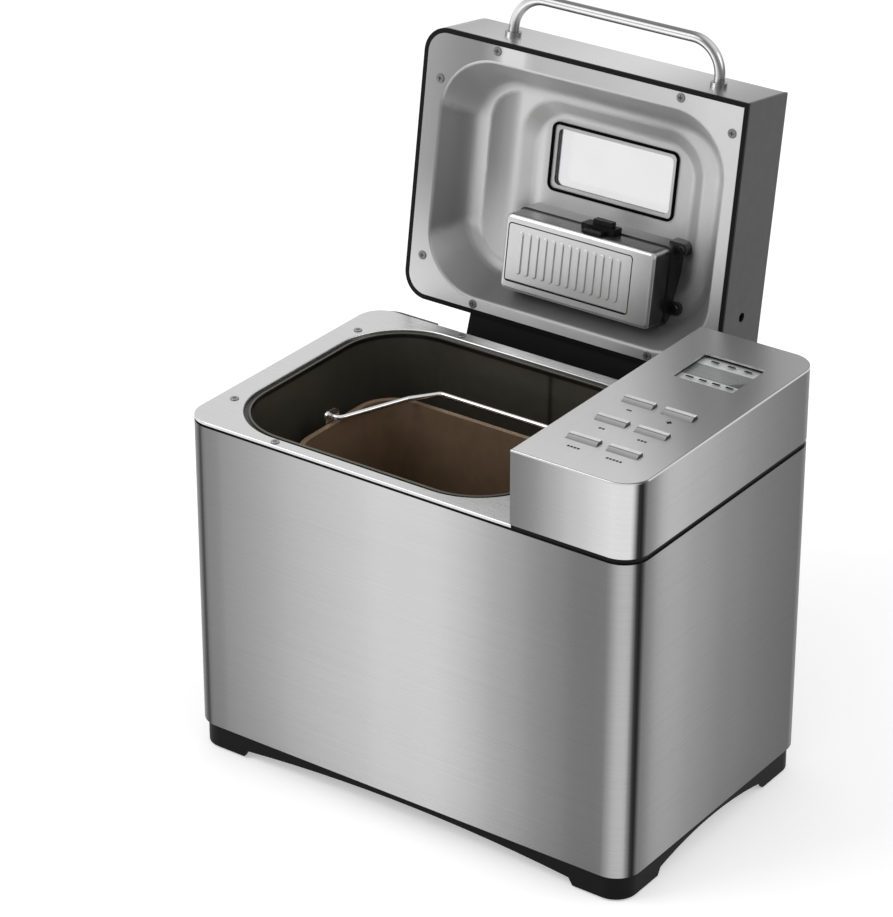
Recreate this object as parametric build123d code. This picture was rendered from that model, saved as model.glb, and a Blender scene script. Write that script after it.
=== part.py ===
from build123d import *
import math
import os

# Bread machine. Millimetres, +Z up, front towards -Y, control tower towards +X.
# The origin is the centre of the body's footprint on the worktop.

# Body
BODY_W = 380.0
BODY_D = 237.0
CORNER_R = 20.0
SHEET = 1.0
WRAP_BOTTOM = 21.0
WRAP_TOP = 266.5
SEAM_H = 2.0
SEAM_INSET = 1.4
PLATE_T = 2.2
PLATE_BACK = 9.0
TOWER_W = 98.0
TOWER_H = 56.3
TOWER_TOP_T = 1.5
RUN_GAP = 0.4
FIT_GAP = 0.2

# Base and feet
BASE_INSET = 3.0
BASE_WALL = 2.6
BASE_LIP = 12.0
BASE_FLOOR = 15.5
FOOT_LIFT = 1.5
ARCH_MID = 14.5
ARCH_SIDE = 7.0
ARCH_RUN = 5.0
FRONT_ARCH = BODY_W / 2 - 43.0
SIDE_ARCH = BODY_D / 2 - 46.5
PAD_R = 11.0
PAD_IN = 25.0

# Oven chamber
WALL_LEFT = 24.0
WALL_RIGHT = 21.0
WALL_FRONT = 14.5
WALL_REAR = 25.5
CHAMBER_W = BODY_W - TOWER_W - WALL_LEFT - WALL_RIGHT
CHAMBER_D = BODY_D - WALL_FRONT - WALL_REAR
CHAMBER_X = (WALL_LEFT - WALL_RIGHT - TOWER_W) / 2
CHAMBER_Y = (WALL_FRONT - WALL_REAR) / 2
CHAMBER_R = 50.0
CHAMBER_T = 0.8
CHAMBER_FLOOR = 92.0
CHAMBER_DRAFT = 2.5
CHAMBER_FLANGE = 10.0
CHAMBER_BEAD = 1.6
MOUTH_STEP = 5.0
HEATER_R = 3.2
HEATER_CORNER = 14.0
HEATER_Z = CHAMBER_FLOOR + 20.0

# Bread pan, bail and paddle
PAN_SIDE_ROOM = 26.5
PAN_FRONT_ROOM = 39.5
PAN_W = CHAMBER_W - 2 * PAN_SIDE_ROOM
PAN_D = CHAMBER_D - 2 * PAN_FRONT_ROOM
PAN_R = 28.0
PAN_T = 1.2
PAN_FLOOR = CHAMBER_FLOOR + 18.0
PAN_RIM = WRAP_TOP - 32.5
PAN_TAPER = 4.0
PAN_LIP = 3.0
BAIL_R = 2.0
BAIL_REACH = 72.0
BAIL_REST = 2.0
BAIL_Z = PAN_RIM + BAIL_R + 1.5

# Drive
SHAFT_R = 5.0
PULLEY_BIG_R = 46.0
PULLEY_RATIO = 4.0
PULLEY_SMALL_R = PULLEY_BIG_R / PULLEY_RATIO
PULLEY_Z = 36.0
PULLEY_H = 14.0
MOTOR_X = BODY_W / 2 - 56.0
MOTOR_R = 36.0
MOTOR_L = 66.0
CHASSIS_Z = CHAMBER_FLOOR - 30.0
CHASSIS_T = 2.0

# Lid, modelled closed and then swung open about its hinge pin
LID_GAP = 1.8
LID_END_GAP = 2.5
HINGE_ROOM = 26.5
LID_LENGTH = BODY_D - HINGE_ROOM
LID_OPEN = 98.6
HINGE_Y = BODY_D / 2 - 1.7
HINGE_Z = WRAP_TOP - 19.5
HINGE_X0 = CHAMBER_X - 82.0
HINGE_X1 = CHAMBER_X + 89.5
HINGE_R = 5.5
HINGE_PIN_R = 2.5
RIM_BAND = 3.5
RIM_BAND_H = 1.8
LINER_T = 0.8
LINER_W = CHAMBER_W + 10.0
LINER_D = LID_LENGTH - 29.5
LINER_R = 46.0
LINER_DEPTH = 32.0
LINER_SLOPE = 18.0
LINER_BEAD = 3.0
LINER_FLOOR_R = 14.0
PANEL_W = LINER_W - 85.0
PANEL_D = LINER_D - 50.0
PANEL_R = 32.0
PANEL_DEPTH = 8.0
PANEL_SLOPE = 13.0
PANEL_STEP_R = 10.0
PANEL_FLOOR_R = 12.0
WINDOW_W = PANEL_W - 51.0
WINDOW_D = 53.0
WINDOW_X = CHAMBER_X + 7.5
WINDOW_U = LID_LENGTH / 2 + 19.0
HANDLE_X = CHAMBER_X + 7.5
HANDLE_SPAN = 178.0
HANDLE_R = 4.0
HANDLE_OUT = 31.0
HANDLE_BEND = 25.0

# Dispenser in the lid
DISP_W = LINER_W - 115.0
DISP_D = 59.0
DISP_U = LID_LENGTH / 2 - 50.25
DISP_X = CHAMBER_X + 8.5
DISP_FACE = 1.0
DISP_COVER_H = 21.0
COVER_EDGE_R = 3.6
DISP_EAR_RIGHT = 4.8
DISP_EAR_LEFT = 7.0
DISP_EAR_U = (DISP_U - 17.0, DISP_U + 28.0)
FLAP_W = DISP_W - 24.0
FLAP_D = DISP_D - 15.0
FLAP_T = 2.0
FLAP_R = 2.2
FLAP_GAP = 0.9
FLAP_SIDE = 4.5
FLAP_LOW = 8.0
FLAP_RIBS = 13
RIB_W = 4.2
RIB_H = 1.1

# Control tower
BUTTON_W = 24.0
BUTTON_D = 8.0
BUTTON_PROUD = 2.2
BUTTON_TRAVEL = 1.2
BUTTON_X = (BODY_W / 2 - 66.0, BODY_W / 2 - 34.0)
BUTTON_Y = (107.0 - BODY_D / 2, 73.5 - BODY_D / 2, 39.5 - BODY_D / 2)
LCD_W = 49.0
LCD_D = 44.0
LCD_X = BODY_W / 2 - 47.5
LCD_Y = BODY_D / 2 - 57.5

# Sizes that follow from those above
FRONT_Y = -BODY_D / 2
REAR_Y = BODY_D / 2
LEFT_X = -BODY_W / 2
RIGHT_X = BODY_W / 2
PLATE_BOTTOM = WRAP_TOP + SEAM_H
PLATE_TOP = PLATE_BOTTOM + PLATE_T
TOWER_X = RIGHT_X - TOWER_W
TOWER_TOP = PLATE_TOP + TOWER_H
LID_RIM = PLATE_TOP + LID_GAP
LID_TOP = TOWER_TOP - 0.7
LID_RIGHT = TOWER_X - LID_END_GAP
LID_REAR = FRONT_Y + LID_LENGTH
LINER_X = CHAMBER_X
LINER_Y = LID_REAR - LID_LENGTH / 2 + 2.5
PANEL_X = LINER_X + 9.0
PANEL_Y = LINER_Y - 1.0
TROUGH_Y = REAR_Y - PLATE_BACK
TROUGH_T = 1.2
TROUGH_Z = HINGE_Z - 17.0
CHEEK_T = 8.0
MOUTH_W = CHAMBER_W + 2 * MOUTH_STEP
MOUTH_D = CHAMBER_D + 2 * MOUTH_STEP
MOUTH_R = CHAMBER_R + MOUTH_STEP
DISP_BOX_H = LINER_DEPTH - DISP_FACE - DISP_COVER_H
FLAP_X = DISP_X - DISP_W / 2 + FLAP_SIDE + FLAP_W / 2
DISP_Y = LID_REAR - DISP_U
FLAP_HINGE_Y = DISP_Y + DISP_D / 2 - FLAP_LOW - FLAP_T / 2
FLAP_HINGE_Z = LID_RIM + DISP_FACE + FLAP_T / 2


def outline(inset):
    return RectangleRounded(BODY_W - 2 * inset, BODY_D - 2 * inset, CORNER_R - inset)


def slab(sketch, z0, z1):
    return extrude(Pos(0, 0, z0) * sketch, z1 - z0)


def block(x0, x1, y0, y1, z0, z1):
    return Pos((x0 + x1) / 2, (y0 + y1) / 2, (z0 + z1) / 2) * Box(x1 - x0, y1 - y0, z1 - z0)


def disc(x, y, r, z0, z1):
    return Pos(x, y, (z0 + z1) / 2) * Cylinder(r, z1 - z0)


def rod_x(x0, x1, y, z, r):
    return Pos((x0 + x1) / 2, y, z) * Rot(0, 90, 0) * Cylinder(r, x1 - x0)


def rod_y(x, y0, y1, z, r):
    return Pos(x, (y0 + y1) / 2, z) * Rot(90, 0, 0) * Cylinder(r, y1 - y0)


def side_prism(points, x0, x1):
    face = make_face(Polyline(*[(y, z) for y, z in points], close=True))
    return extrude(Plane((x0, 0, 0), (0, 1, 0), (1, 0, 0)) * face, x1 - x0)


def rounded_at(x, y, w, d, r):
    return Pos(x, y) * RectangleRounded(w, d, r)


def draft_box(x, y, w, d, r, z0, z1, inset):
    """A rounded box that narrows by inset on every side from z0 to z1."""
    wide = Pos(0, 0, z0) * rounded_at(x, y, w, d, r)
    narrow = Pos(0, 0, z1) * rounded_at(x, y, w - 2 * inset, d - 2 * inset, r - inset / 2)
    return loft([wide, narrow], ruled=True)


def swing_open(shape):
    """A closed-lid shape turned to the open lid."""
    return shape.rotate(Axis((0, HINGE_Y, HINGE_Z), (1, 0, 0)), -LID_OPEN)


def pan_head(r, h, shank_r, shank_l):
    """A cross-recessed pan-head screw, head up, seated on z = 0."""
    head = Pos(0, 0, h / 2) * Cylinder(r, h)
    head = chamfer(head.edges().group_by(Axis.Z)[-1], h * 0.35)
    cross = Box(r * 1.1, r * 0.26, h) + Box(r * 0.26, r * 1.1, h)
    return head - Pos(0, 0, h) * cross + Pos(0, 0, -shank_l / 2) * Cylinder(shank_r, shank_l)


def arch_cutter(half, plane):
    run = half - ARCH_RUN
    edges = [
        Line((-half, -1), (half, -1)),
        Line((half, -1), (run, ARCH_SIDE)),
        ThreePointArc((run, ARCH_SIDE), (0, ARCH_MID), (-run, ARCH_SIDE)),
        Line((-run, ARCH_SIDE), (-half, -1)),
    ]
    return extrude(plane * make_face(edges), BODY_W, both=True)


def pad_spots():
    return GridLocations(BODY_W - 2 * PAD_IN, BODY_D - 2 * PAD_IN, 2, 2)


def base():
    top = WRAP_BOTTOM + BASE_LIP
    tray = slab(outline(BASE_INSET), FOOT_LIFT, WRAP_BOTTOM) + slab(outline(SHEET), WRAP_BOTTOM, top)
    tray -= slab(outline(BASE_INSET + BASE_WALL), 0, BASE_FLOOR)
    tray -= slab(outline(BASE_INSET + BASE_WALL), BASE_FLOOR + BASE_WALL, top + 1)
    tray -= arch_cutter(FRONT_ARCH, Plane.XZ)
    tray -= arch_cutter(SIDE_ARCH, Plane.YZ)
    for spot in pad_spots():
        tray += spot * disc(0, 0, PAD_R + 2, FOOT_LIFT, BASE_FLOOR)
    slots = GridLocations(12, 44, 7, 2)
    vent = extrude(SlotOverall(34, 5, 90), 3 * BASE_WALL, both=True)
    tray -= [Pos(MOTOR_X - 10, CHAMBER_Y, BASE_FLOOR) * spot * vent for spot in slots]
    rib = REAR_Y - 48.5
    for x in (CHAMBER_X - 62.5, CHAMBER_X + 7.5, CHAMBER_X + 77.5):
        tray += block(x - 1.5, x + 1.5, -rib, rib, BASE_FLOOR - 3, BASE_FLOOR)
    for x, y in ((LEFT_X + 40, 0), (TOWER_X - 27, FRONT_Y + 33.5), (TOWER_X - 27, REAR_Y - 33.5)):
        tray += disc(x, y, 6, BASE_FLOOR - 3, BASE_FLOOR) - disc(x, y, 3.2, 0, BASE_FLOOR)
        tray -= disc(x, y, 1.8, 0, BASE_FLOOR + 9)
    return tray


def foot_pads():
    pad = disc(0, 0, PAD_R, 0, FOOT_LIFT)
    return Compound([spot * pad for spot in pad_spots()])


REAR_FLANGE = 12.0
REAR_HALF = RIGHT_X - CORNER_R - REAR_FLANGE - 3.0


def wrap():
    ring = slab(outline(0), WRAP_BOTTOM, WRAP_TOP) - slab(outline(SHEET), 0, WRAP_TOP + 1)
    return ring - block(-REAR_HALF, REAR_HALF, REAR_Y - 5, REAR_Y + 1, 0, WRAP_TOP + 1)


GLAND_X = RIGHT_X - 70.0
GLAND_Z = 52.0
GLAND_R = 8.0


def rear_panel():
    half = REAR_HALF - FIT_GAP
    lip = WRAP_BOTTOM + BASE_LIP + FIT_GAP
    panel = block(-half, half, REAR_Y - SHEET, REAR_Y, WRAP_BOTTOM, WRAP_TOP)
    for s in (-1, 1):
        x0, x1 = sorted((s * (half - 6), s * (half + REAR_FLANGE)))
        panel += block(x0, x1, REAR_Y - 2 * SHEET, REAR_Y - SHEET, lip, WRAP_TOP - 9)
    panel -= block(HINGE_X0 - CHEEK_T, HINGE_X1 + CHEEK_T, 0, REAR_Y + 1, TROUGH_Z - FIT_GAP, WRAP_TOP + 1)
    vent = extrude(Plane.XZ * SlotOverall(26, 4, 90), 3 * SHEET, both=True)
    for x, z, columns, rows in ((RIGHT_X - 100, 180, 10, 2), (LEFT_X + 120, 70, 12, 1)):
        face = Pos(x, REAR_Y, z) * Rot(90, 0, 0)
        panel -= [face * spot * Rot(-90, 0, 0) * vent for spot in GridLocations(11, 36, columns, rows)]
    return panel - rod_y(GLAND_X, REAR_Y - 9, REAR_Y + 1, GLAND_Z, GLAND_R)


def cord_gland():
    bush = rod_y(GLAND_X, REAR_Y - 8, REAR_Y + 3, GLAND_Z, GLAND_R - FIT_GAP)
    bush += rod_y(GLAND_X, REAR_Y, REAR_Y + 3, GLAND_Z, GLAND_R + 4)
    bush += rod_y(GLAND_X, REAR_Y - 6, REAR_Y - SHEET, GLAND_Z, GLAND_R + 2)
    return bush - rod_y(GLAND_X, REAR_Y - 20, REAR_Y + 20, GLAND_Z, 3.6)


def hinge_clear(z0, z1):
    return block(HINGE_X0 - CHEEK_T, HINGE_X1 + CHEEK_T, TROUGH_Y, REAR_Y + 1, z0, z1)


def plate_face(inset):
    """Top plate in plan: left corners rounded like the body, square beside the tower, short of the rear edge."""
    x0, x1 = LEFT_X + inset, TOWER_X + SEAM_INSET - RUN_GAP
    y0, y1 = FRONT_Y + inset, REAR_Y - PLATE_BACK - inset
    face = Pos((x0 + x1) / 2, (y0 + y1) / 2) * Rectangle(x1 - x0, y1 - y0)
    return fillet(face.vertices().group_by(Axis.X)[0], CORNER_R - inset)


def top_frame():
    seam = slab(outline(SEAM_INSET), WRAP_TOP, PLATE_TOP)
    frame = slab(plate_face(SEAM_INSET), WRAP_TOP, PLATE_BOTTOM)
    frame += seam & block(TOWER_X + SEAM_INSET - RUN_GAP, RIGHT_X, FRONT_Y, REAR_Y, WRAP_TOP, PLATE_BOTTOM)
    frame += seam & block(TOWER_X + SEAM_INSET, RIGHT_X, FRONT_Y, REAR_Y, PLATE_BOTTOM, PLATE_TOP)
    frame += slab(outline(SHEET), WRAP_TOP - 8, WRAP_TOP) - slab(outline(SHEET + 2), 0, WRAP_TOP)
    ledge = slab(outline(SHEET), WRAP_TOP - 2, WRAP_TOP)
    frame += ledge & block(LEFT_X, RIGHT_X, REAR_Y - PLATE_BACK - CORNER_R, REAR_Y, WRAP_TOP - 2, WRAP_TOP)
    flange = CHAMBER_FLANGE + FIT_GAP
    frame -= slab(
        rounded_at(CHAMBER_X, CHAMBER_Y, CHAMBER_W + 2 * flange, CHAMBER_D + 2 * flange, CHAMBER_R + flange),
        0, PLATE_TOP + 1,
    )
    frame -= block(TOWER_X + 10, RIGHT_X - 12, FRONT_Y + 16, REAR_Y - 16, 0, PLATE_TOP + 1)
    return frame - hinge_clear(0, PLATE_TOP + 1)


PLATE_SCREW = (
    (LEFT_X + 13.5, FRONT_Y + 42.0), (LEFT_X + 16.0, REAR_Y - 51.5),
    (CHAMBER_X - 63.0, FRONT_Y + 4.8), (CHAMBER_X - 58.0, REAR_Y - PLATE_BACK - 5.5),
    (TOWER_X - 8.0, FRONT_Y + 68.5), (TOWER_X - 8.0, REAR_Y - 68.5),
)


def top_plate():
    plate = slab(plate_face(0), PLATE_BOTTOM, PLATE_TOP)
    plate -= slab(rounded_at(CHAMBER_X, CHAMBER_Y, MOUTH_W, MOUTH_D, MOUTH_R), 0, PLATE_TOP + 1)
    plate = fillet(plate.edges().group_by(Axis.Z)[-1], 0.9)
    return plate - [disc(x, y, 1.7, 0, PLATE_TOP + 1) for x, y in PLATE_SCREW]


def plate_screws():
    screw = pan_head(3.2, 0.65, 1.5, PLATE_T)
    return Compound([Pos(x, y, PLATE_TOP) * screw for x, y in PLATE_SCREW])


def chamber_box(grow, z_floor, z_top):
    box = draft_box(
        CHAMBER_X, CHAMBER_Y, CHAMBER_W + 2 * grow, CHAMBER_D + 2 * grow, CHAMBER_R + grow,
        z_top, z_floor, CHAMBER_DRAFT,
    )
    return fillet(box.faces().sort_by(Axis.Z)[0].edges(), 12 + grow)


def heater_path():
    x = CHAMBER_W / 2 - 13
    y = CHAMBER_D / 2 - 18
    out = CHAMBER_W / 2 + 8
    a, b = x - HEATER_CORNER, y - HEATER_CORNER
    half = [(out, 14), (x, 14), (x, b), (a, y), (-a, y), (-x, b)]
    points = half + [(p, -q) for p, q in reversed(half)]
    return FilletPolyline(*[(CHAMBER_X + a, CHAMBER_Y + b, HEATER_Z) for a, b in points], radius=9)


PROBE_Z = CHAMBER_FLOOR + 73.0
PROBE_Y = CHAMBER_Y + CHAMBER_D / 2 - CHAMBER_R - 3.0
SEAT_R = 46.0


def chamber():
    bead = 2 * CHAMBER_BEAD
    pot = chamber_box(CHAMBER_T, CHAMBER_FLOOR - CHAMBER_T, PLATE_BOTTOM)
    pot += slab(
        rounded_at(
            CHAMBER_X, CHAMBER_Y, CHAMBER_W + 2 * CHAMBER_FLANGE, CHAMBER_D + 2 * CHAMBER_FLANGE,
            CHAMBER_R + CHAMBER_FLANGE,
        ),
        PLATE_BOTTOM - CHAMBER_T, PLATE_BOTTOM,
    )
    rim = slab(rounded_at(CHAMBER_X, CHAMBER_Y, CHAMBER_W + bead, CHAMBER_D + bead, CHAMBER_R + CHAMBER_BEAD),
               PLATE_BOTTOM, PLATE_BOTTOM + CHAMBER_BEAD * 0.75)
    pot += fillet(rim.edges().group_by(Axis.Z)[-1], 0.6)
    pot -= chamber_box(0, CHAMBER_FLOOR, PLATE_BOTTOM)
    pot -= slab(rounded_at(CHAMBER_X, CHAMBER_Y, CHAMBER_W, CHAMBER_D, CHAMBER_R), PLATE_BOTTOM, PLATE_TOP)
    pot -= disc(CHAMBER_X, CHAMBER_Y, SHAFT_R + 4, 0, CHAMBER_FLOOR + 1)
    right = CHAMBER_X + CHAMBER_W / 2
    for s in (-1, 1):
        pot -= rod_x(right - 8, right + 8, CHAMBER_Y + s * 14, HEATER_Z, HEATER_R + 1)
    return pot - rod_x(right - 8, right + 8, PROBE_Y, PROBE_Z, 3.4)


def heater():
    path = heater_path()
    return sweep(Plane(origin=path @ 0, z_dir=path % 0) * Circle(HEATER_R), path=path)


def heater_clips():
    y = CHAMBER_D / 2 - 18
    low = HEATER_Z - HEATER_R
    clip = block(-5, 5, -11, 1, CHAMBER_FLOOR, CHAMBER_FLOOR + 1.5) + block(-5, 5, -1, 1, CHAMBER_FLOOR, low)
    spots = [Pos(CHAMBER_X + a, CHAMBER_Y) * Rot(0, 0, turn) * Pos(0, y) for a in (-50, 50) for turn in (0, 180)]
    return Compound([spot * clip for spot in spots])


def temp_probe():
    wall = CHAMBER_X + CHAMBER_W / 2 - CHAMBER_DRAFT / 2
    stem = rod_x(wall - 12, wall + 8, PROBE_Y, PROBE_Z, 3.0)
    nut = Plane((wall + 2.4, PROBE_Y, PROBE_Z), (0, 1, 0), (1, 0, 0)) * RegularPolygon(6, 6)
    return stem + extrude(nut, 4)


def pan_seat():
    ring = disc(CHAMBER_X, CHAMBER_Y, SEAT_R, CHAMBER_FLOOR, CHAMBER_FLOOR + 12)
    ring += disc(CHAMBER_X, CHAMBER_Y, SEAT_R + 8, CHAMBER_FLOOR, CHAMBER_FLOOR + 2)
    ring -= disc(CHAMBER_X, CHAMBER_Y, SEAT_R - 5, 0, CHAMBER_FLOOR + 20)
    gate = block(SEAT_R - 8, SEAT_R + 4, -8, 8, CHAMBER_FLOOR + 4, CHAMBER_FLOOR + 20)
    return ring - [Pos(CHAMBER_X, CHAMBER_Y) * spot * gate for spot in PolarLocations(0, 3)]


def shaft_bearing():
    top = CHAMBER_FLOOR - CHAMBER_T
    body = disc(CHAMBER_X, CHAMBER_Y, 14, CHASSIS_Z - 6, top) + disc(CHAMBER_X, CHAMBER_Y, 26, top - 4, top)
    body += disc(CHAMBER_X, CHAMBER_Y, 22, CHASSIS_Z + CHASSIS_T, CHASSIS_Z + CHASSIS_T + 4)
    return body - disc(CHAMBER_X, CHAMBER_Y, SHAFT_R + RUN_GAP, 0, top + 1)


COUPLER_Z = CHAMBER_FLOOR + 2.0


def drive_shaft():
    return disc(CHAMBER_X, CHAMBER_Y, SHAFT_R, PULLEY_Z - 3, COUPLER_Z + 3)


def drive_coupler():
    plate = disc(0, 0, 16, COUPLER_Z, COUPLER_Z + 3) - disc(0, 0, SHAFT_R + 0.05, 0, COUPLER_Z + 9)
    for s in (-1, 1):
        plate += disc(0, s * 10, 3, COUPLER_Z + 3, COUPLER_Z + 10)
    return Pos(CHAMBER_X, CHAMBER_Y) * plate


def pulley(r, bore, web):
    flange = disc(0, 0, r + 3.5, 0, 1.5)
    wheel = disc(0, 0, r, 0, PULLEY_H) + flange + Pos(0, 0, PULLEY_H - 1.5) * flange
    if web:
        pocket = disc(0, 0, r - 5, 5, PULLEY_H + 1) - disc(0, 0, 10, 0, PULLEY_H + 1)
        wheel -= pocket
        wheel -= [spot * disc(0, 0, 7, -1, 6) for spot in PolarLocations(r * 0.55, 6)]
    return Pos(0, 0, PULLEY_Z) * (wheel - disc(0, 0, bore, -1, PULLEY_H + 1))


def drive_pulley():
    return Pos(CHAMBER_X, CHAMBER_Y) * pulley(PULLEY_BIG_R, SHAFT_R + 0.05, True)


def motor_pulley():
    wheel = pulley(PULLEY_SMALL_R, 3.5, False)
    return Pos(MOTOR_X, CHAMBER_Y) * (wheel + disc(0, 0, 3.8, PULLEY_Z - 2, CHASSIS_Z + 8))


def belt_face(grow):
    big = Pos(CHAMBER_X, CHAMBER_Y) * Circle(PULLEY_BIG_R + grow)
    small = Pos(MOTOR_X, CHAMBER_Y) * Circle(PULLEY_SMALL_R + grow)
    return make_hull(big.edges() + small.edges())


def drive_belt():
    band = belt_face(RUN_GAP + 2.0) - belt_face(RUN_GAP)
    return slab(band, PULLEY_Z + 2.2, PULLEY_Z + PULLEY_H - 2.2)


def chassis():
    x0, x1, y1 = LEFT_X + 65, RIGHT_X - 10, REAR_Y - 30.5
    floor = BASE_FLOOR + BASE_WALL
    top = CHASSIS_Z + CHASSIS_T
    deck = block(x0, x1, -y1, y1, CHASSIS_Z, top)
    for s in (-1, 1):
        deck += block(x0, x1, *sorted((s * (y1 - CHASSIS_T), s * y1)), floor, CHASSIS_Z)
        deck += block(x0, x1, *sorted((s * y1, s * (y1 + 10))), floor, floor + CHASSIS_T)
        deck -= block(x0 + 35, x1 - 90, *sorted((s * (y1 - 5), s * (y1 + 5))), floor + 12, CHASSIS_Z - 8)
    deck -= disc(CHAMBER_X, CHAMBER_Y, 14 + FIT_GAP, 0, top + 1)
    return deck - disc(MOTOR_X, CHAMBER_Y, 8, 0, top + 1)


def motor():
    z = CHASSIS_Z + CHASSIS_T
    body = slab(rounded_at(0, 0, 2 * MOTOR_R + 6, 2 * MOTOR_R + 6, 10), z, z + 3)
    can = disc(0, 0, MOTOR_R, z + 3, z + MOTOR_L)
    can -= [spot * block(-2, 4, -5, 5, z + 14, z + MOTOR_L - 14) for spot in PolarLocations(MOTOR_R, 8)]
    body += can + disc(0, 0, MOTOR_R - 8, z + MOTOR_L, z + MOTOR_L + 7)
    return Pos(MOTOR_X, CHAMBER_Y) * (body - disc(0, 0, 3.8 + RUN_GAP, 0, CHASSIS_Z + 9))


def capacitor():
    z = CHASSIS_Z + CHASSIS_T
    groove = disc(0, 0, 20, z + 44, z + 46) - disc(0, 0, 15, z + 44, z + 46)
    can = disc(0, 0, 16, z, z + 50) - groove
    can += block(-6, -3, -2, 2, z + 50, z + 58) + block(3, 6, -2, 2, z + 50, z + 58)
    return Pos(RIGHT_X - 40, REAR_Y - 56.5) * can


def power_board():
    x = RIGHT_X - 12
    z = CHASSIS_Z + CHASSIS_T + MOTOR_L + 14
    y0, y1 = FRONT_Y + 38.5, REAR_Y - 58.5
    board = block(x, x + 1.6, y0, y1, z, z + 105)
    board += block(x - 32, x, y0 + 14, y0 + 54, z + 6, z + 44)
    board += block(x - 20, x, y1 - 70, y1 - 40, z + 6, z + 32)
    for k in range(6):
        board += block(x - 24, x, y0 + 10 + k * 6, y0 + 12 + k * 6, z + 56, z + 96)
    board += rod_x(x - 26, x, y1 - 30, z + 70, 11)
    for y in (y0 + 6, y1 - 6):
        for rise in (6, 99):
            board += rod_x(x + 1.6, RIGHT_X - SHEET, y, z + rise, 3)
    return board


def tower_part(inset):
    x0 = TOWER_X + inset
    return outline(inset) & Pos((x0 + RIGHT_X) / 2, 0) * Rectangle(RIGHT_X - x0, BODY_D)


def tower_shell():
    top = TOWER_TOP - TOWER_TOP_T
    return slab(tower_part(0), PLATE_TOP, top) - slab(tower_part(SHEET), 0, top + 1)


def button_spots():
    return [(x, y) for y in BUTTON_Y for x in BUTTON_X]


def tower_top():
    plate = slab(tower_part(0), TOWER_TOP - TOWER_TOP_T, TOWER_TOP)
    plate = fillet(plate.edges().group_by(Axis.Z)[-1], 0.8)
    hole = Rectangle(BUTTON_W + 2 * RUN_GAP, BUTTON_D + 2 * RUN_GAP)
    for x, y in button_spots():
        plate -= slab(Pos(x, y) * hole, TOWER_TOP - 5, TOWER_TOP + 1)
    return plate - slab(rounded_at(LCD_X, LCD_Y, LCD_W, LCD_D, 1.5), TOWER_TOP - 5, TOWER_TOP + 1)


def button(x, y):
    """One bar key: sloped front edge, proud of the tower, flanged below its hole."""
    under = TOWER_TOP - TOWER_TOP_T - RUN_GAP
    w, d = BUTTON_W, BUTTON_D
    low = TOWER_TOP - 0.5
    high = TOWER_TOP + BUTTON_PROUD
    profile = [(-d / 2, under), (-d / 2, low), (-d * 0.12, high), (d / 2, high), (d / 2, under)]
    cap = side_prism(profile, -w / 2, w / 2)
    cap += block(-w / 2 - 2, w / 2 + 2, -d / 2 - 2, d / 2 + 2, under - 2, under)
    cap += block(-3, 3, -2.5, 2.5, under - 4.5, under - 2)
    return Pos(x, y) * cap


BOARD_Z = TOWER_TOP - 22.0


def lcd_bezel():
    top = TOWER_TOP - TOWER_TOP_T
    frame = slab(rounded_at(LCD_X, LCD_Y, LCD_W + 10, LCD_D + 10, 3), BOARD_Z + 1.6, top)
    frame -= slab(rounded_at(LCD_X, LCD_Y, LCD_W, LCD_D, 1.5), 0, top + 1)
    return frame - slab(rounded_at(LCD_X, LCD_Y, LCD_W + 5, LCD_D + 5, 2), 0, top - 1.0)


def lcd_lens():
    top = TOWER_TOP - TOWER_TOP_T - 1.0
    return slab(rounded_at(LCD_X, LCD_Y, LCD_W + 4.6, LCD_D + 4.6, 1.8), top - 1.5, top)


def lcd_panel():
    top = TOWER_TOP - TOWER_TOP_T - 2.5
    panel = slab(rounded_at(LCD_X, LCD_Y, LCD_W + 4.4, LCD_D + 4.4, 1.6), top - 3.0, top)
    return panel + block(LCD_X - 15, LCD_X + 15, LCD_Y - 4, LCD_Y + 4, BOARD_Z + 1.6, top - 3.0)


def control_board():
    board = block(TOWER_X + 6, RIGHT_X - 8, FRONT_Y + 14, REAR_Y - 16, BOARD_Z, BOARD_Z + 1.6)
    board += block(LCD_X - 12, LCD_X + 12, BUTTON_Y[0] + 7.5, BUTTON_Y[0] + 25.5, BOARD_Z + 1.6, BOARD_Z + 4)
    for k in range(4):
        board += block(TOWER_X + 14, TOWER_X + 22, 30 - k * 22, 40 - k * 22, BOARD_Z - 6, BOARD_Z)
    return board + switches()


def switches():
    stem = TOWER_TOP - TOWER_TOP_T - RUN_GAP - 4.5
    tip = stem - BUTTON_TRAVEL - RUN_GAP
    body = block(-4, 4, -4, 4, BOARD_Z + 1.6, tip - 2) + disc(0, 0, 2, tip - 2, tip)
    return [Pos(x, y) * body for x, y in button_spots()]


def hinge_trough():
    """The black pocket let into the body's rear top edge, with the two cheeks that carry the pin."""
    x0, x1 = HINGE_X0 - CHEEK_T, HINGE_X1 + CHEEK_T
    pocket = block(x0, x1, TROUGH_Y, TROUGH_Y + TROUGH_T, TROUGH_Z, WRAP_TOP)
    pocket += block(x0, x1, TROUGH_Y, REAR_Y, TROUGH_Z, TROUGH_Z + 2.5)
    cheek = [
        (TROUGH_Y, TROUGH_Z), (REAR_Y, TROUGH_Z), (HINGE_Y + HINGE_R, HINGE_Z - 5),
        (HINGE_Y + HINGE_R, HINGE_Z + 4), (HINGE_Y + 3, HINGE_Z + 9), (TROUGH_Y + 5, WRAP_TOP), (TROUGH_Y, WRAP_TOP),
    ]
    pocket += side_prism(cheek, x0, HINGE_X0 - RUN_GAP)
    pocket += side_prism(cheek, HINGE_X1 + RUN_GAP, x1)
    return pocket - rod_x(x0 - 1, x1 + 1, HINGE_Y, HINGE_Z, HINGE_PIN_R + 0.05)


def hinge_pin():
    return rod_x(HINGE_X0 - CHEEK_T, HINGE_X1 + CHEEK_T, HINGE_Y, HINGE_Z, HINGE_PIN_R)


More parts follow.
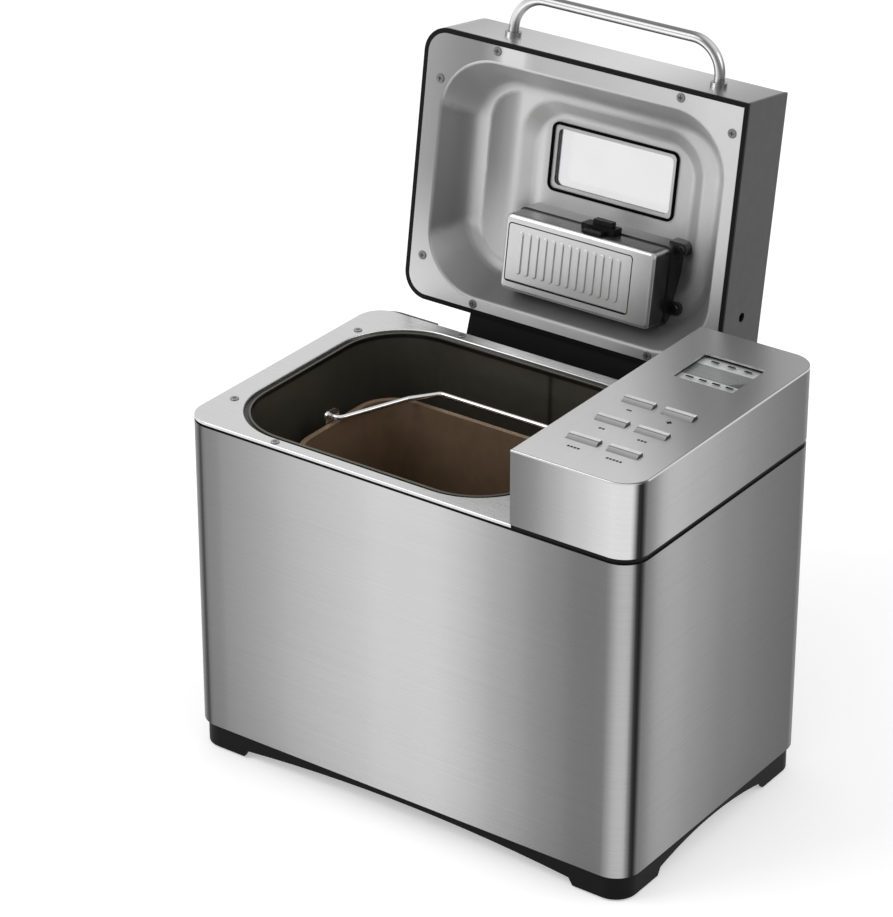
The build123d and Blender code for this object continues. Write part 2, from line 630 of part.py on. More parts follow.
def lid_face(inset, right_inset):
    """Lid outline in plan: left corners rounded like the body, right corners square beside the tower."""
    x0, x1 = LEFT_X + inset, LID_RIGHT - right_inset
    y0, y1 = FRONT_Y + inset, LID_REAR - inset
    face = Pos((x0 + x1) / 2, (y0 + y1) / 2) * Rectangle(x1 - x0, y1 - y0)
    return fillet(face.vertices().group_by(Axis.X)[0], CORNER_R - inset)


END_T = 1.6
WINDOW_Y = LID_REAR - WINDOW_U
HANDLE_Z = LID_RIM + 25.0


def handle_feet():
    return (HANDLE_X - HANDLE_SPAN / 2, HANDLE_X + HANDLE_SPAN / 2)


def lid_shell():
    z0 = LID_RIM + RIM_BAND_H
    right = END_T + FIT_GAP
    skin = slab(lid_face(0, right), z0, LID_TOP)
    edge = skin.edges().group_by(Axis.Z)[-1].filter_by(lambda e: e.center().X < LID_RIGHT - 5)
    skin = fillet(edge, 2.4)
    skin -= slab(lid_face(SHEET, -5), z0 - 1, LID_TOP - SHEET)
    skin -= slab(rounded_at(WINDOW_X, WINDOW_Y, WINDOW_W - 4, WINDOW_D - 4, 5), 0, LID_TOP + 1)
    return skin


def lid_end():
    panel = block(LID_RIGHT - END_T, LID_RIGHT, FRONT_Y, LID_REAR, LID_RIM + RIM_BAND_H, LID_TOP)
    panel = fillet(panel.edges().filter_by(Axis.X), 1.2)
    fold = block(
        LID_RIGHT - END_T - 6, LID_RIGHT - END_T, FRONT_Y + 12, LID_REAR - 12, LID_TOP - SHEET - 1.4, LID_TOP - SHEET,
    )
    return panel + fold - rod_x(LID_RIGHT - 9, LID_RIGHT + 1, LID_REAR - 47, LID_RIM + 26, 3.6)


def lid_rim():
    band = slab(lid_face(0, 0), LID_RIM, LID_RIM + RIM_BAND_H)
    ledge = slab(lid_face(SHEET, END_T), LID_RIM + RIM_BAND_H, LID_RIM + 7)
    band += ledge - slab(lid_face(RIM_BAND + 2, RIM_BAND + 2), 0, LID_RIM + 8)
    band -= slab(lid_face(RIM_BAND, RIM_BAND), 0, LID_RIM + LINER_T)
    return band - slab(lid_face(RIM_BAND + 2, RIM_BAND + 2), 0, LID_RIM + 8)


def liner_cavity(grow):
    """The two-step drawn recess, grown outwards by grow for its outer skin."""
    z1 = LID_RIM + LINER_DEPTH + grow
    z2 = z1 + PANEL_DEPTH
    first = draft_box(
        LINER_X, LINER_Y, LINER_W + 2 * grow, LINER_D + 2 * grow, LINER_R + grow, LID_RIM, z1, LINER_SLOPE,
    )
    first = fillet(first.faces().sort_by(Axis.Z)[-1].edges(), LINER_FLOOR_R + grow)
    panel = draft_box(
        PANEL_X, PANEL_Y, PANEL_W + 2 * grow, PANEL_D + 2 * grow, PANEL_R + grow, z1 - 0.5, z2, PANEL_SLOPE,
    )
    panel = fillet(panel.faces().sort_by(Axis.Z)[-1].edges(), PANEL_FLOOR_R + grow)
    both = first + panel
    step = [e for e in both.edges() if abs(e.center().Z - z1) < 0.01 and on_step(e)]
    return fillet(step, PANEL_STEP_R - grow)


def on_step(edge):
    c = edge.center()
    return abs(c.X - PANEL_X) < PANEL_W / 2 + 2 and abs(c.Y - PANEL_Y) < PANEL_D / 2 + 2


LID_SCREW = (
    (LEFT_X + 16.5, LID_LENGTH - 38.5), (CHAMBER_X - 77.5, LID_LENGTH - 7.8),
    (CHAMBER_X + 81.2, LID_LENGTH - 7.8), (LID_RIGHT - 11.0, LID_LENGTH - 24.0),
    (LEFT_X + 14.5, 33.9), (CHAMBER_X - 78.5, 7.6), (CHAMBER_X + 77.2, 7.6), (LID_RIGHT - 11.0, 24.0),
)


def lid_screw_spots():
    return [Pos(x, LID_REAR - u, LID_RIM) * Rot(180, 0, 0) for x, u in LID_SCREW]


def lid_liner():
    inset = RIM_BAND + FIT_GAP
    liner = slab(lid_face(inset, inset), LID_RIM, LID_RIM + LINER_T) + liner_cavity(LINER_T)
    bead = 2 * LINER_BEAD
    liner += slab(
        rounded_at(LINER_X, LINER_Y, LINER_W + bead, LINER_D + bead, LINER_R + LINER_BEAD), LID_RIM, LID_RIM + 5,
    )
    liner -= liner_cavity(0)
    mouth = [e for e in liner.edges().group_by(Axis.Z)[0] if e.center().Y < LID_REAR - 8 and inside_mouth(e)]
    liner = fillet(mouth, LINER_BEAD)
    liner -= slab(rounded_at(WINDOW_X, WINDOW_Y, WINDOW_W - 10, WINDOW_D - 10, 4), 0, LID_TOP)
    return liner - [spot * Cylinder(1.7, 14) for spot in lid_screw_spots()]


def inside_mouth(edge):
    c = edge.center()
    return abs(c.X - LINER_X) < LINER_W / 2 + 0.5 and abs(c.Y - LINER_Y) < LINER_D / 2 + 0.5


def lid_screws():
    screw = pan_head(3.4, 0.8, 1.5, 5)
    return Compound([spot * screw for spot in lid_screw_spots()])


PANEL_Z = LID_RIM + LINER_DEPTH + PANEL_DEPTH


def window_gasket():
    ring = rounded_at(WINDOW_X, WINDOW_Y, WINDOW_W, WINDOW_D, 6)
    ring -= rounded_at(WINDOW_X, WINDOW_Y, WINDOW_W - 4, WINDOW_D - 4, 4)
    strip = slab(ring, PANEL_Z - 1.4, PANEL_Z)
    tab = Box(5, 12, 4)
    for a in (-34, 34):
        for s in (-1, 1):
            strip -= Pos(WINDOW_X + a, WINDOW_Y + s * WINDOW_D / 2, PANEL_Z - 3.2) * tab
    return strip


def window_inner():
    z0 = PANEL_Z + LINER_T
    return slab(rounded_at(WINDOW_X, WINDOW_Y, WINDOW_W - 2, WINDOW_D - 2, 5), z0, z0 + 3)


def window_outer():
    z1 = LID_TOP - SHEET
    return slab(rounded_at(WINDOW_X, WINDOW_Y, WINDOW_W + 6, WINDOW_D + 6, 7), z1 - 3, z1)


def lid_handle():
    left, right = handle_feet()
    out = FRONT_Y - HANDLE_OUT
    path = FilletPolyline(
        (left, FRONT_Y, HANDLE_Z), (left, out, HANDLE_Z), (right, out, HANDLE_Z), (right, FRONT_Y, HANDLE_Z),
        radius=HANDLE_BEND,
    )
    return sweep(Plane(origin=path @ 0, z_dir=path % 0) * Circle(HANDLE_R), path=path)


def handle_collars():
    rings = []
    for x in handle_feet():
        ring = rod_y(x, FRONT_Y - 3, FRONT_Y, HANDLE_Z, HANDLE_R + 2.2)
        rings.append(ring - rod_y(x, FRONT_Y - 9, FRONT_Y + 9, HANDLE_Z, HANDLE_R + 0.05))
    return Compound(rings)


def hinge_leaf():
    """The wide black leaf screwed to the lid's rear wall, with the barrel that turns on the pin."""
    y, z = LID_REAR, LID_RIM
    web = [
        (y, z + 3.5), (HINGE_Y - HINGE_R, z), (HINGE_Y - HINGE_R, HINGE_Z), (HINGE_Y + HINGE_R, HINGE_Z),
        (HINGE_Y + 1, z + 1), (HINGE_Y - 4, z + 8), (y + 5, z + 15), (y + 5, z + 44), (y, z + 44),
    ]
    leaf = side_prism(web, HINGE_X0, HINGE_X1)
    leaf += rod_x(HINGE_X0, HINGE_X1, HINGE_Y, HINGE_Z, HINGE_R)
    return leaf - rod_x(HINGE_X0 - 1, HINGE_X1 + 1, HINGE_Y, HINGE_Z, HINGE_PIN_R + RUN_GAP)


DISP_Z = LID_RIM + DISP_FACE
BOX_Z = DISP_Z + DISP_COVER_H


def flap_hole():
    y = FLAP_HINGE_Y + FLAP_T / 2 - FLAP_D / 2
    return rounded_at(FLAP_X, y, FLAP_W + 2 * FLAP_GAP, FLAP_D + 2 * FLAP_GAP, FLAP_R + FLAP_GAP)


def dispenser_cover():
    cover = slab(rounded_at(DISP_X, DISP_Y, DISP_W, DISP_D, 5), DISP_Z, BOX_Z)
    cover = fillet(cover.faces().sort_by(Axis.Z)[0].edges(), COVER_EDGE_R)
    hollow = slab(rounded_at(DISP_X, DISP_Y, DISP_W - 2, DISP_D - 2, 4), DISP_Z + 1.2, BOX_Z + 1)
    cover -= fillet(hollow.faces().sort_by(Axis.Z)[0].edges(), COVER_EDGE_R - 1)
    return cover - slab(flap_hole(), 0, BOX_Z)


def dispenser_box():
    """Black bin: bowl inside the steel cover, foot on the drawn panel behind it and four screw ears."""
    top = BOX_Z + DISP_BOX_H
    y = FLAP_HINGE_Y + FLAP_T / 2 - FLAP_D / 2
    box = slab(rounded_at(DISP_X, DISP_Y, DISP_W + 2, DISP_D + 2, 5), BOX_Z, top)
    box += slab(rounded_at(DISP_X, DISP_Y, DISP_W + 2, DISP_D + 2, 5), top, PANEL_Z)
    box += slab(rounded_at(DISP_X, DISP_Y, DISP_W - 3, DISP_D - 3, 4), DISP_Z + 4.5, BOX_Z)
    box -= slab(rounded_at(FLAP_X, y, FLAP_W - 1, FLAP_D - 1, 6), 0, top - 2)
    for x, y in ear_spots():
        side = DISP_X + math.copysign(DISP_W / 2 - 6, x - DISP_X)
        lug = disc(x, y, 5, top - 3, PANEL_Z) + block(*sorted((x, side)), y - 5, y + 5, top - 3, PANEL_Z)
        box += lug - slab(rounded_at(DISP_X, DISP_Y, DISP_W, DISP_D, 5), 0, top)
    box &= liner_cavity(-0.05)
    return box - [disc(x, y, 1.8, 0, PANEL_Z + 1) for x, y in ear_spots()]


def ear_spots():
    right = DISP_X + DISP_W / 2 + DISP_EAR_RIGHT
    left = DISP_X - DISP_W / 2 - DISP_EAR_LEFT
    return [(right, LID_REAR - u) for u in DISP_EAR_U] + [(left, DISP_Y - 12), (left, DISP_Y + 12)]


def dispenser_screws():
    screw = pan_head(3.2, 1.6, 1.6, 2.2)
    z = BOX_Z + DISP_BOX_H - 3
    return Compound([Pos(x, y, z) * Rot(180, 0, 0) * screw for x, y in ear_spots()])


def dispenser_flap():
    """Ribbed door; its hinge edge is rounded about the pivot so that it turns inside the steel cover."""
    r = FLAP_T / 2
    y0 = FLAP_HINGE_Y + r - FLAP_D
    x0, x1 = FLAP_X - FLAP_W / 2, FLAP_X + FLAP_W / 2
    door = block(x0, x1, y0, FLAP_HINGE_Y, DISP_Z, DISP_Z + FLAP_T)
    door += rod_x(x0, x1, FLAP_HINGE_Y, FLAP_HINGE_Z, r)
    door &= slab(rounded_at(FLAP_X, y0 + FLAP_D / 2, FLAP_W, FLAP_D, FLAP_R), 0, LID_TOP)
    rib = slab(SlotOverall(FLAP_D - 11, RIB_W, 90), DISP_Z - RIB_H, DISP_Z)
    rib = fillet(rib.edges().group_by(Axis.Z)[0], RIB_H * 0.6)
    pitch = (FLAP_W - 22) / (FLAP_RIBS - 1)
    door += [Pos(x0 + 11 + k * pitch, y0 + FLAP_D / 2 - 1) * rib for k in range(FLAP_RIBS)]
    lip = block(x0 + 4, x1 - 4, y0 + 2, FLAP_HINGE_Y - 3, DISP_Z + FLAP_T, DISP_Z + FLAP_T + 0.9)
    return door + lip


LATCH_X = DISP_X + 9.0


def dispenser_latch():
    y = DISP_Y - DISP_D / 2 - RUN_GAP
    slide = block(LATCH_X - 14, LATCH_X + 14, y - 5, y, DISP_Z + 9, DISP_Z + 20.5)
    slide += block(LATCH_X - 6, LATCH_X + 10, y - 9, y - 5, DISP_Z + 12, DISP_Z + 18)
    slide += block(LATCH_X - 8, LATCH_X + 8, y - 3, y, DISP_Z + 4, DISP_Z + 9)
    nose = [(y - 3, DISP_Z + 4), (y - 2, DISP_Z + 0.5), (y, DISP_Z + 1.5), (y, DISP_Z + 4)]
    return slide + side_prism(nose, LATCH_X - 8, LATCH_X + 8)


def solenoid():
    y = LID_REAR - 26
    z = LID_RIM + LINER_DEPTH + LINER_T
    x = DISP_X + 7
    coil = block(x - 32, x, y - 8, y + 8, z, z + 15)
    return coil + rod_x(x, x + 14, y, z + 8, 3) + rod_x(x + 12, x + 14, y, z + 8, 5)


def pan_box(grow, z0):
    return draft_box(
        CHAMBER_X, CHAMBER_Y, PAN_W + 2 * grow, PAN_D + 2 * grow, PAN_R + grow, PAN_RIM, z0, PAN_TAPER,
    )


def pan():
    pot = pan_box(0, PAN_FLOOR)
    pot = fillet(pot.faces().sort_by(Axis.Z)[0].edges(), 9)
    lip = rounded_at(CHAMBER_X, CHAMBER_Y, PAN_W + 2 * PAN_LIP, PAN_D + 2 * PAN_LIP, PAN_R + PAN_LIP)
    pot += slab(lip, PAN_RIM - 3, PAN_RIM)
    hollow = pan_box(-PAN_T, PAN_FLOOR + PAN_T)
    hollow = fillet(hollow.faces().sort_by(Axis.Z)[0].edges(), 8)
    for s in (-1, 1):
        rib = disc(CHAMBER_X + s * 30, CHAMBER_Y + s * (PAN_D / 2 + 1), 7, PAN_FLOOR + 8, PAN_RIM - 22)
        hollow -= rib
    return pot - hollow - disc(CHAMBER_X, CHAMBER_Y, 4 + RUN_GAP, 0, PAN_FLOOR + 9)


def pan_base():
    ring = disc(0, 0, SEAT_R - 7, CHAMBER_FLOOR + 3, PAN_FLOOR) - disc(0, 0, SEAT_R - 10, 0, PAN_FLOOR - 2)
    ring += disc(0, 0, 12, PAN_FLOOR - 6, PAN_FLOOR)
    lug = block(SEAT_R - 8, SEAT_R - 1, -6, 6, CHAMBER_FLOOR + 6, CHAMBER_FLOOR + 10)
    ring += [spot * lug for spot in PolarLocations(0, 3)]
    return Pos(CHAMBER_X, CHAMBER_Y) * (ring - disc(0, 0, 4 + RUN_GAP, 0, PAN_FLOOR + 9))


LUG_T = 2.0
LUG_X = PAN_W / 2 + PAN_LIP + 0.6


def bail_lugs():
    lugs = []
    for s in (-1, 1):
        x0, x1 = sorted((s * LUG_X, s * (LUG_X + LUG_T)))
        face = Plane((x0, 0, 0), (0, 1, 0), (1, 0, 0)) * Pos(0, BAIL_Z - 6) * RectangleRounded(16, 22, 5)
        lug = extrude(face, LUG_T)
        reach = PAN_W / 2 - PAN_TAPER * 0.18
        lug += block(*sorted((s * reach, s * (LUG_X + LUG_T))), -7, 7, BAIL_Z - 15, BAIL_Z - 10)
        lug -= rod_x(x0 - 1, x1 + 1, 0, BAIL_Z, BAIL_R + RUN_GAP)
        lugs.append(Pos(CHAMBER_X, CHAMBER_Y) * lug - pan_box(0, PAN_FLOOR))
    return Compound(lugs)


def bail():
    """Bent wire bail, built lying flat towards the rear and then raised to its rest angle."""
    end = LUG_X + LUG_T + 3
    inner = LUG_X - 6
    half = [(inner, 0), (PAN_W / 2 - 26, 52), (PAN_W / 2 - 42, BAIL_REACH)]
    points = [(-end, 0)] + [(-a, b) for a, b in half] + [(a, b) for a, b in reversed(half)] + [(end, 0)]
    path = FilletPolyline(*[(a, b, 0) for a, b in points], radius=6)
    wire = sweep(Plane(origin=path @ 0, z_dir=path % 0) * Circle(BAIL_R), path=path)
    return Pos(CHAMBER_X, CHAMBER_Y, BAIL_Z) * Rot(BAIL_REST, 0, 0) * wire


WING_Z = COUPLER_Z + 4.0


def pan_shaft():
    shaft = disc(0, 0, 4, WING_Z, PAN_FLOOR + 24) + block(-13, 13, -3.5, 3.5, WING_Z, WING_Z + 5)
    return Pos(CHAMBER_X, CHAMBER_Y) * shaft


def paddle():
    """Kneading paddle: bored hub and one swept blade that thins towards its tip."""
    low = PAN_FLOOR + PAN_T + 1.0
    hub = disc(0, 0, 8.5, low, PAN_FLOOR + 28) - disc(0, 0, 4.1, 0, PAN_FLOOR + 25)
    foot = Pos(0, 0, low) * (Pos(22, 0) * Ellipse(22, 5))
    tip = Pos(0, 0, low + 32) * (Pos(15, 2) * Ellipse(14, 2.6))
    blade = loft([foot, tip], ruled=True) - disc(0, 0, 8, 0, PAN_RIM)
    return Pos(CHAMBER_X, CHAMBER_Y) * (hub + blade)


def nodes():
    found = {
        "base": base(), "foot_pads": foot_pads(), "wrap": wrap(), "rear_panel": rear_panel(),
        "cord_gland": cord_gland(), "top_frame": top_frame(), "top_plate": top_plate(),
        "plate_screws": plate_screws(), "chamber": chamber(), "heater": heater(), "heater_clips": heater_clips(),
        "temp_probe": temp_probe(), "pan_seat": pan_seat(), "shaft_bearing": shaft_bearing(),
        "drive_shaft": drive_shaft(), "drive_coupler": drive_coupler(), "drive_pulley": drive_pulley(),
        "motor_pulley": motor_pulley(), "drive_belt": drive_belt(), "chassis": chassis(), "motor": motor(),
        "capacitor": capacitor(), "power_board": power_board(), "tower_shell": tower_shell(),
        "tower_top": tower_top(), "lcd_bezel": lcd_bezel(), "lcd_lens": lcd_lens(), "lcd_panel": lcd_panel(),
        "control_board": control_board(), "hinge_trough": hinge_trough(),
        "hinge_pin": hinge_pin(), "pan": pan(), "pan_base": pan_base(), "bail_lugs": bail_lugs(), "bail": bail(),
        "pan_shaft": pan_shaft(), "paddle": paddle(),
    }
    for k, (x, y) in enumerate(button_spots()):
        found[f"button_{k + 1}"] = button(x, y)
    lid = {
        "lid_shell": lid_shell(), "lid_end": lid_end(), "lid_rim": lid_rim(), "lid_liner": lid_liner(),
        "lid_screws": lid_screws(), "window_gasket": window_gasket(), "window_inner": window_inner(),
        "window_outer": window_outer(), "lid_handle": lid_handle(), "handle_collars": handle_collars(),
        "hinge_leaf": hinge_leaf(), "dispenser_cover": dispenser_cover(), "dispenser_box": dispenser_box(),
        "dispenser_screws": dispenser_screws(), "dispenser_flap": dispenser_flap(),
        "dispenser_latch": dispenser_latch(), "solenoid": solenoid(),
    }
    for name, shape in lid.items():
        found[name] = swing_open(shape)
    return found


os.makedirs("parts", exist_ok=True)
for name, shape in nodes().items():
    export_step(shape, f"parts/{name}.step")
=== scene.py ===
import math
from collections import namedtuple

import bmesh
import bpy
from bpy.props import FloatProperty, FloatVectorProperty, PointerProperty
from bpy.types import Operator, Panel, PropertyGroup
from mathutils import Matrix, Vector


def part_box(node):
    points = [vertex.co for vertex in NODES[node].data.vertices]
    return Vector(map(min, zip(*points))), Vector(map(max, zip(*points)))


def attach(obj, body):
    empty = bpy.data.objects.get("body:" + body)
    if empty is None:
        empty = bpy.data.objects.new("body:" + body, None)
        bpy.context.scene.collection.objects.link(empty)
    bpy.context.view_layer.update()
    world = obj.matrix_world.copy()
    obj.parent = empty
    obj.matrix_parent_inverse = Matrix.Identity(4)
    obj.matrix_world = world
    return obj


bl_info = {
    "name": "Bread machine finishes",
    "version": (1, 0, 0),
    "blender": (4, 5, 0),
    "location": "View3D > Sidebar > Bread machine",
    "description": "Dresses the packed bread machine: steel skin, lid, oven, pan, controls and studio",
    "category": "Object",
}

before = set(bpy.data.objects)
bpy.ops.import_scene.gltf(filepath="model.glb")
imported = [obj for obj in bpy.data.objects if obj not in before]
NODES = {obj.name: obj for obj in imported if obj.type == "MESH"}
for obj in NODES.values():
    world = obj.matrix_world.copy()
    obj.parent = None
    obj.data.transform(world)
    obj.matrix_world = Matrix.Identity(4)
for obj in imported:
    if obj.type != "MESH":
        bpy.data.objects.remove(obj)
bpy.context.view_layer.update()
TOWER_TOP_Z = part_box("tower_top")[1].z
BODY_LOW, BODY_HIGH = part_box("wrap")
WIDE = (BODY_LOW.x, BODY_HIGH.x)
DEEP = (BODY_LOW.y, BODY_HIGH.y)
UNIT = (0.0, 1.0)
BOTH_WAYS = (-1.0, 1.0)

# Directions of the standing machine, and of the lid as it stands open.
X, Y, Z = (1, 0, 0), (0, 1, 0), (0, 0, 1)
LEFT, FRONT, DOWN = (-1, 0, 0), (0, -1, 0), (0, 0, -1)
# SHEEN: direction along which painted reflection gradients run on the tower top, top plate and chamber.
SHEEN = (0.8125, 0.583, 0.0)
LID_OPEN = math.radians(98.6)
UP_LID = (0.0, -math.cos(LID_OPEN), math.sin(LID_OPEN))
DOWN_LID = (0.0, math.cos(LID_OPEN), -math.sin(LID_OPEN))
OUT_LID = (0.0, -math.sin(LID_OPEN), -math.cos(LID_OPEN))
# LOW_RIGHT_LID: direction into the painted shade at the lower right of the lid liner.
LOW_RIGHT_LID = (0.45, 0.7, -0.55)
# TUBE_LIGHT and WIRE_LIGHT: facings that carry the painted reflection bands of the handle tube and the bail
# wire.
TUBE_LIGHT = (0.6, -0.25, 0.76)
WIRE_LIGHT = (0.3, -0.5, 0.8)

# Stretch of the noise that makes the grain: fine across the brushing, slow along it.
EVEN_GRAIN = (90, 90, 90)
GRAIN_X = (4, 700, 700)
GRAIN_Y = (700, 4, 700)
GRAIN_XY = (4, 4, 800)
GRAIN_SCALE = 1.6
EVEN_DETAIL, BRUSHED_DETAIL = 1.0, 5.0
ISOTROPIC = (1, 1, 1)
DRAWN_ALONG_X = (3, 200, 200)
NOISE_SPAN = (0.3, 0.7)

# Slow drift of tone over a sheet, and the relief and sheen of its brushing.
DRIFT_SCALE, DRIFT_DETAIL, DRIFT_TONE = 6.0, 1.0, 0.03
BRUSHED_BUMP, BRUSHED_RELIEF = 0.03, 0.00005
BRUSHED_SHEEN = 0.5

# Faint smears on clear panes, and the tooth of the floor paper.
SMEAR_SCALE, SMEAR_DETAIL = 22.0, 3.0
SMEAR_SPAN = (0.35, 0.7)
SMEAR_TONES = (0.97, 1.0)
SMEAR_ROUGH = 0.05
PAPER_SCALE = 90.0
PAPER_TONES = (0.99, 1.0)
PAPER_ROUGH, PAPER_SPECULAR = 0.9, 0.1

# Spans of facing, the normal's component along a direction, over which one tone passes into the next.
WALL_FADE = (0.03, 0.2)
CORNER_FADE = (0.02, 0.15)
FLAT_FADE = (0.97, 0.998)
FACE_FADE = (0.75, 0.95)
EDGE_FADE = (0.08, 0.2)
# Painted edge: a thin painted shade line, then a painted highlight, across a fillet.
EDGE_PAINTED_SHADE_AND_HIGHLIGHT = [(0.0, 0.5), (0.2, 0.2), (0.45, 0.16), (0.65, 0.9), (0.8, 1.2), (1.0, 0.9)]

# Finishes: fold angle, glass, relief of a plain surface, height of a screw head's painted highlight and
# shade, heights of the open lid's end over which it passes from painted shade to painted highlight, and
# depths below the chamber's top at which its painted shade in the neck and its plain rim set in.
SHARP_ANGLE = math.radians(32)
GLASS_IOR = 1.45
RELIEF = 0.0002
HEAD_RISE = 0.0007
LID_HEIGHTS = (0.26, 0.5)
NECK_DEPTHS = (0.0045, 0.003)
RIM_DEPTHS = (0.0011, 0.0006)

# Keys and their printed marks, with the marks' parts as multiples of a mark's height and stroke.
KEY_COUNT, SIGN_KEYS, PLUS_KEY = 6, 2, 1
KEY_HALF_DEPTH = 0.004
MARK_STEP = 0.0125
SIGN_STROKES = 2
DASH_PITCH, DASH_LENGTH, DASH_STROKES = 0.62, 0.48, 2.6

# Display: rows of dashes and edges of the pale strips as shares of its depth, and the way its painted sheen
# runs.
DISPLAY_ROWS = ((0.25, 4), (0.85, 3))
DISPLAY_STROKES = 3
REAR_STRIP = (0.75, 0.76)
FRONT_STRIP = (0.36, 0.35)
DISPLAY_SHEEN = (0.7, -0.7, 0)

# Studio: camera, soft boxes, floor and surround.
CAMERA_PLACE = (1.2929, -1.8646, 1.4070)
CAMERA_TURN = (math.radians(90 - 27.153), 0.0, math.radians(35.659))
SENSOR_WIDTH = 36.0
CAMERA_CLIP = (0.05, 60.0)
KEY_BOX_PLACE, KEY_BOX_SIZE = (-1.4, -1.6, 2.2), (1.6, 1.6)
FILL_BOX_PLACE, FILL_BOX_SIZE = (2.2, 0.4, 1.6), (1.2, 1.6)
LAMP_TARGET = (0, 0, 0.2)
FLOOR_CUTS = 3
WHITE = (1, 1, 1, 1)
FLOOR_GLOW = 0.4
SURROUND_LIGHT = (0.7, 1.0)

# One layer of a formed sheet's tone, in most uses a painted reflection, highlight or shade. Its tones are a
# ramp over a span of place or facing, or one number for the whole layer. It is laid on toward a direction
# and fades in over a span of facing, or of place where the mask is "Object".
Layer = namedtuple(
    "Layer", "source direction span tones toward fade mask", defaults=(None,) * 6 + ("Normal",))


class BreadMachineSizes(PropertyGroup):
    mark_height: FloatProperty(
        name="Mark height", description="Height of a printed key mark", default=0.0042, unit="LENGTH")
    mark_stroke: FloatProperty(
        name="Mark stroke", description="Stroke width of a printed key mark", default=0.0008, unit="LENGTH")
    print_film: FloatProperty(
        name="Print thickness", description="Thickness of the printed film", default=0.00004, unit="LENGTH")
    dash_length: FloatProperty(
        name="Display dash", description="Length of a dash on the display", default=0.0063, unit="LENGTH")
    floor_size: FloatProperty(
        name="Floor size", description="Side of the studio floor", default=14.0, unit="LENGTH")
    lens: FloatProperty(
        name="Lens", description="Focal length of the camera", default=141.33, unit="CAMERA")
    key_power: FloatProperty(
        name="Key light", description="Power of the soft box at the front left", default=26.0, unit="POWER")
    fill_power: FloatProperty(
        name="Fill light", description="Power of the soft box at the right", default=10.0, unit="POWER")


class BreadMachineColours(PropertyGroup):
    steel: FloatVectorProperty(
        name="Steel", description="Brushed steel skin", default=(0.62, 0.62, 0.62), size=3, subtype="COLOR")
    liner: FloatVectorProperty(
        name="Lid liner", description="Drawn steel of the lid liner",
        default=(0.66, 0.66, 0.66), size=3, subtype="COLOR")
    end_grey: FloatVectorProperty(
        name="Lid end", description="Grey end panel of the lid",
        default=(0.044, 0.044, 0.044), size=3, subtype="COLOR")
    black: FloatVectorProperty(
        name="Black trim", description="Moulded black trim",
        default=(0.006, 0.006, 0.006), size=3, subtype="COLOR")
    oven: FloatVectorProperty(
        name="Oven", description="Enamel of the baking chamber",
        default=(0.07, 0.066, 0.05), size=3, subtype="COLOR")
    non_stick: FloatVectorProperty(
        name="Non-stick", description="Coating of the pan",
        default=(0.28, 0.19, 0.12), size=3, subtype="COLOR")
    chrome: FloatVectorProperty(
        name="Chrome", description="Polished tube and wire",
        default=(0.78, 0.78, 0.78), size=3, subtype="COLOR")
    floor: FloatVectorProperty(
        name="Floor", description="Studio floor", default=(0.8, 0.8, 0.8), size=3, subtype="COLOR")


def grey(value):
    return (value, value, value)


def add_node(tree, kind, **settings):
    node = tree.nodes.new(kind)
    for key, value in settings.items():
        setattr(node, key, value)
    return node


def feed(tree, socket, value):
    """Link a socket, or set it where the value is a plain number."""
    if isinstance(value, float):
        socket.default_value = value
    else:
        tree.links.new(value, socket)


def start_material(name):
    material = bpy.data.materials.new(name)
    material.use_nodes = True
    tree = material.node_tree
    return material, tree, tree.nodes["Principled BSDF"]


def surface_noise(tree, stretch, scale, detail=4.0):
    """Noise in the object's own frame, stretched along the grain."""
    place = add_node(tree, "ShaderNodeTexCoord")
    mapping = add_node(tree, "ShaderNodeMapping")
    mapping.inputs["Scale"].default_value = stretch
    noise = add_node(tree, "ShaderNodeTexNoise")
    noise.inputs["Scale"].default_value = scale
    noise.inputs["Detail"].default_value = detail
    tree.links.new(place.outputs["Object"], mapping.inputs["Vector"])
    tree.links.new(mapping.outputs["Vector"], noise.inputs["Vector"])
    return noise.outputs["Fac"]


def remap(tree, value, source, target, smooth=False):
    """Carry a value from one span to another, held at the ends."""
    node = add_node(tree, "ShaderNodeMapRange", interpolation_type="SMOOTHSTEP" if smooth else "LINEAR")
    tree.links.new(value, node.inputs["Value"])
    node.inputs["From Min"].default_value, node.inputs["From Max"].default_value = source
    node.inputs["To Min"].default_value, node.inputs["To Max"].default_value = target
    return node.outputs["Result"]


def swing_about(tree, noise, middle, swing):
    """A value that moves with the noise to either side of its middle."""
    return remap(tree, noise, NOISE_SPAN, (middle - swing, middle + swing))


def multiply(tree, first, second):
    node = add_node(tree, "ShaderNodeMath", operation="MULTIPLY")
    tree.links.new(first, node.inputs[0])
    tree.links.new(second, node.inputs[1])
    return node.outputs[0]


def blend_values(tree, weight, first, second):
    node = add_node(tree, "ShaderNodeMix", data_type="FLOAT")
    tree.links.new(weight, node.inputs["Factor"])
    feed(tree, node.inputs["A"], first)
    feed(tree, node.inputs["B"], second)
    return node.outputs["Result"]


def tone_ramp(tree, value, tones):
    """A smooth ramp of greys. It reads at most one: a tone above that only steepens the way to it."""
    ramp = add_node(tree, "ShaderNodeValToRGB")
    tree.links.new(value, ramp.inputs["Fac"])
    ramp.color_ramp.interpolation = "CARDINAL"
    elements = ramp.color_ramp.elements
    while len(elements) < len(tones):
        elements.new(0.5)
    for element, (position, tone) in zip(elements, tones):
        element.position = position
        element.color = (tone, tone, tone, 1.0)
    return ramp.outputs["Color"]


def along(tree, vector, direction):
    """Component of a vector along a fixed direction of the object."""
    node = add_node(tree, "ShaderNodeVectorMath", operation="DOT_PRODUCT")
    tree.links.new(vector, node.inputs[0])
    node.inputs[1].default_value = direction
    return node.outputs["Value"]


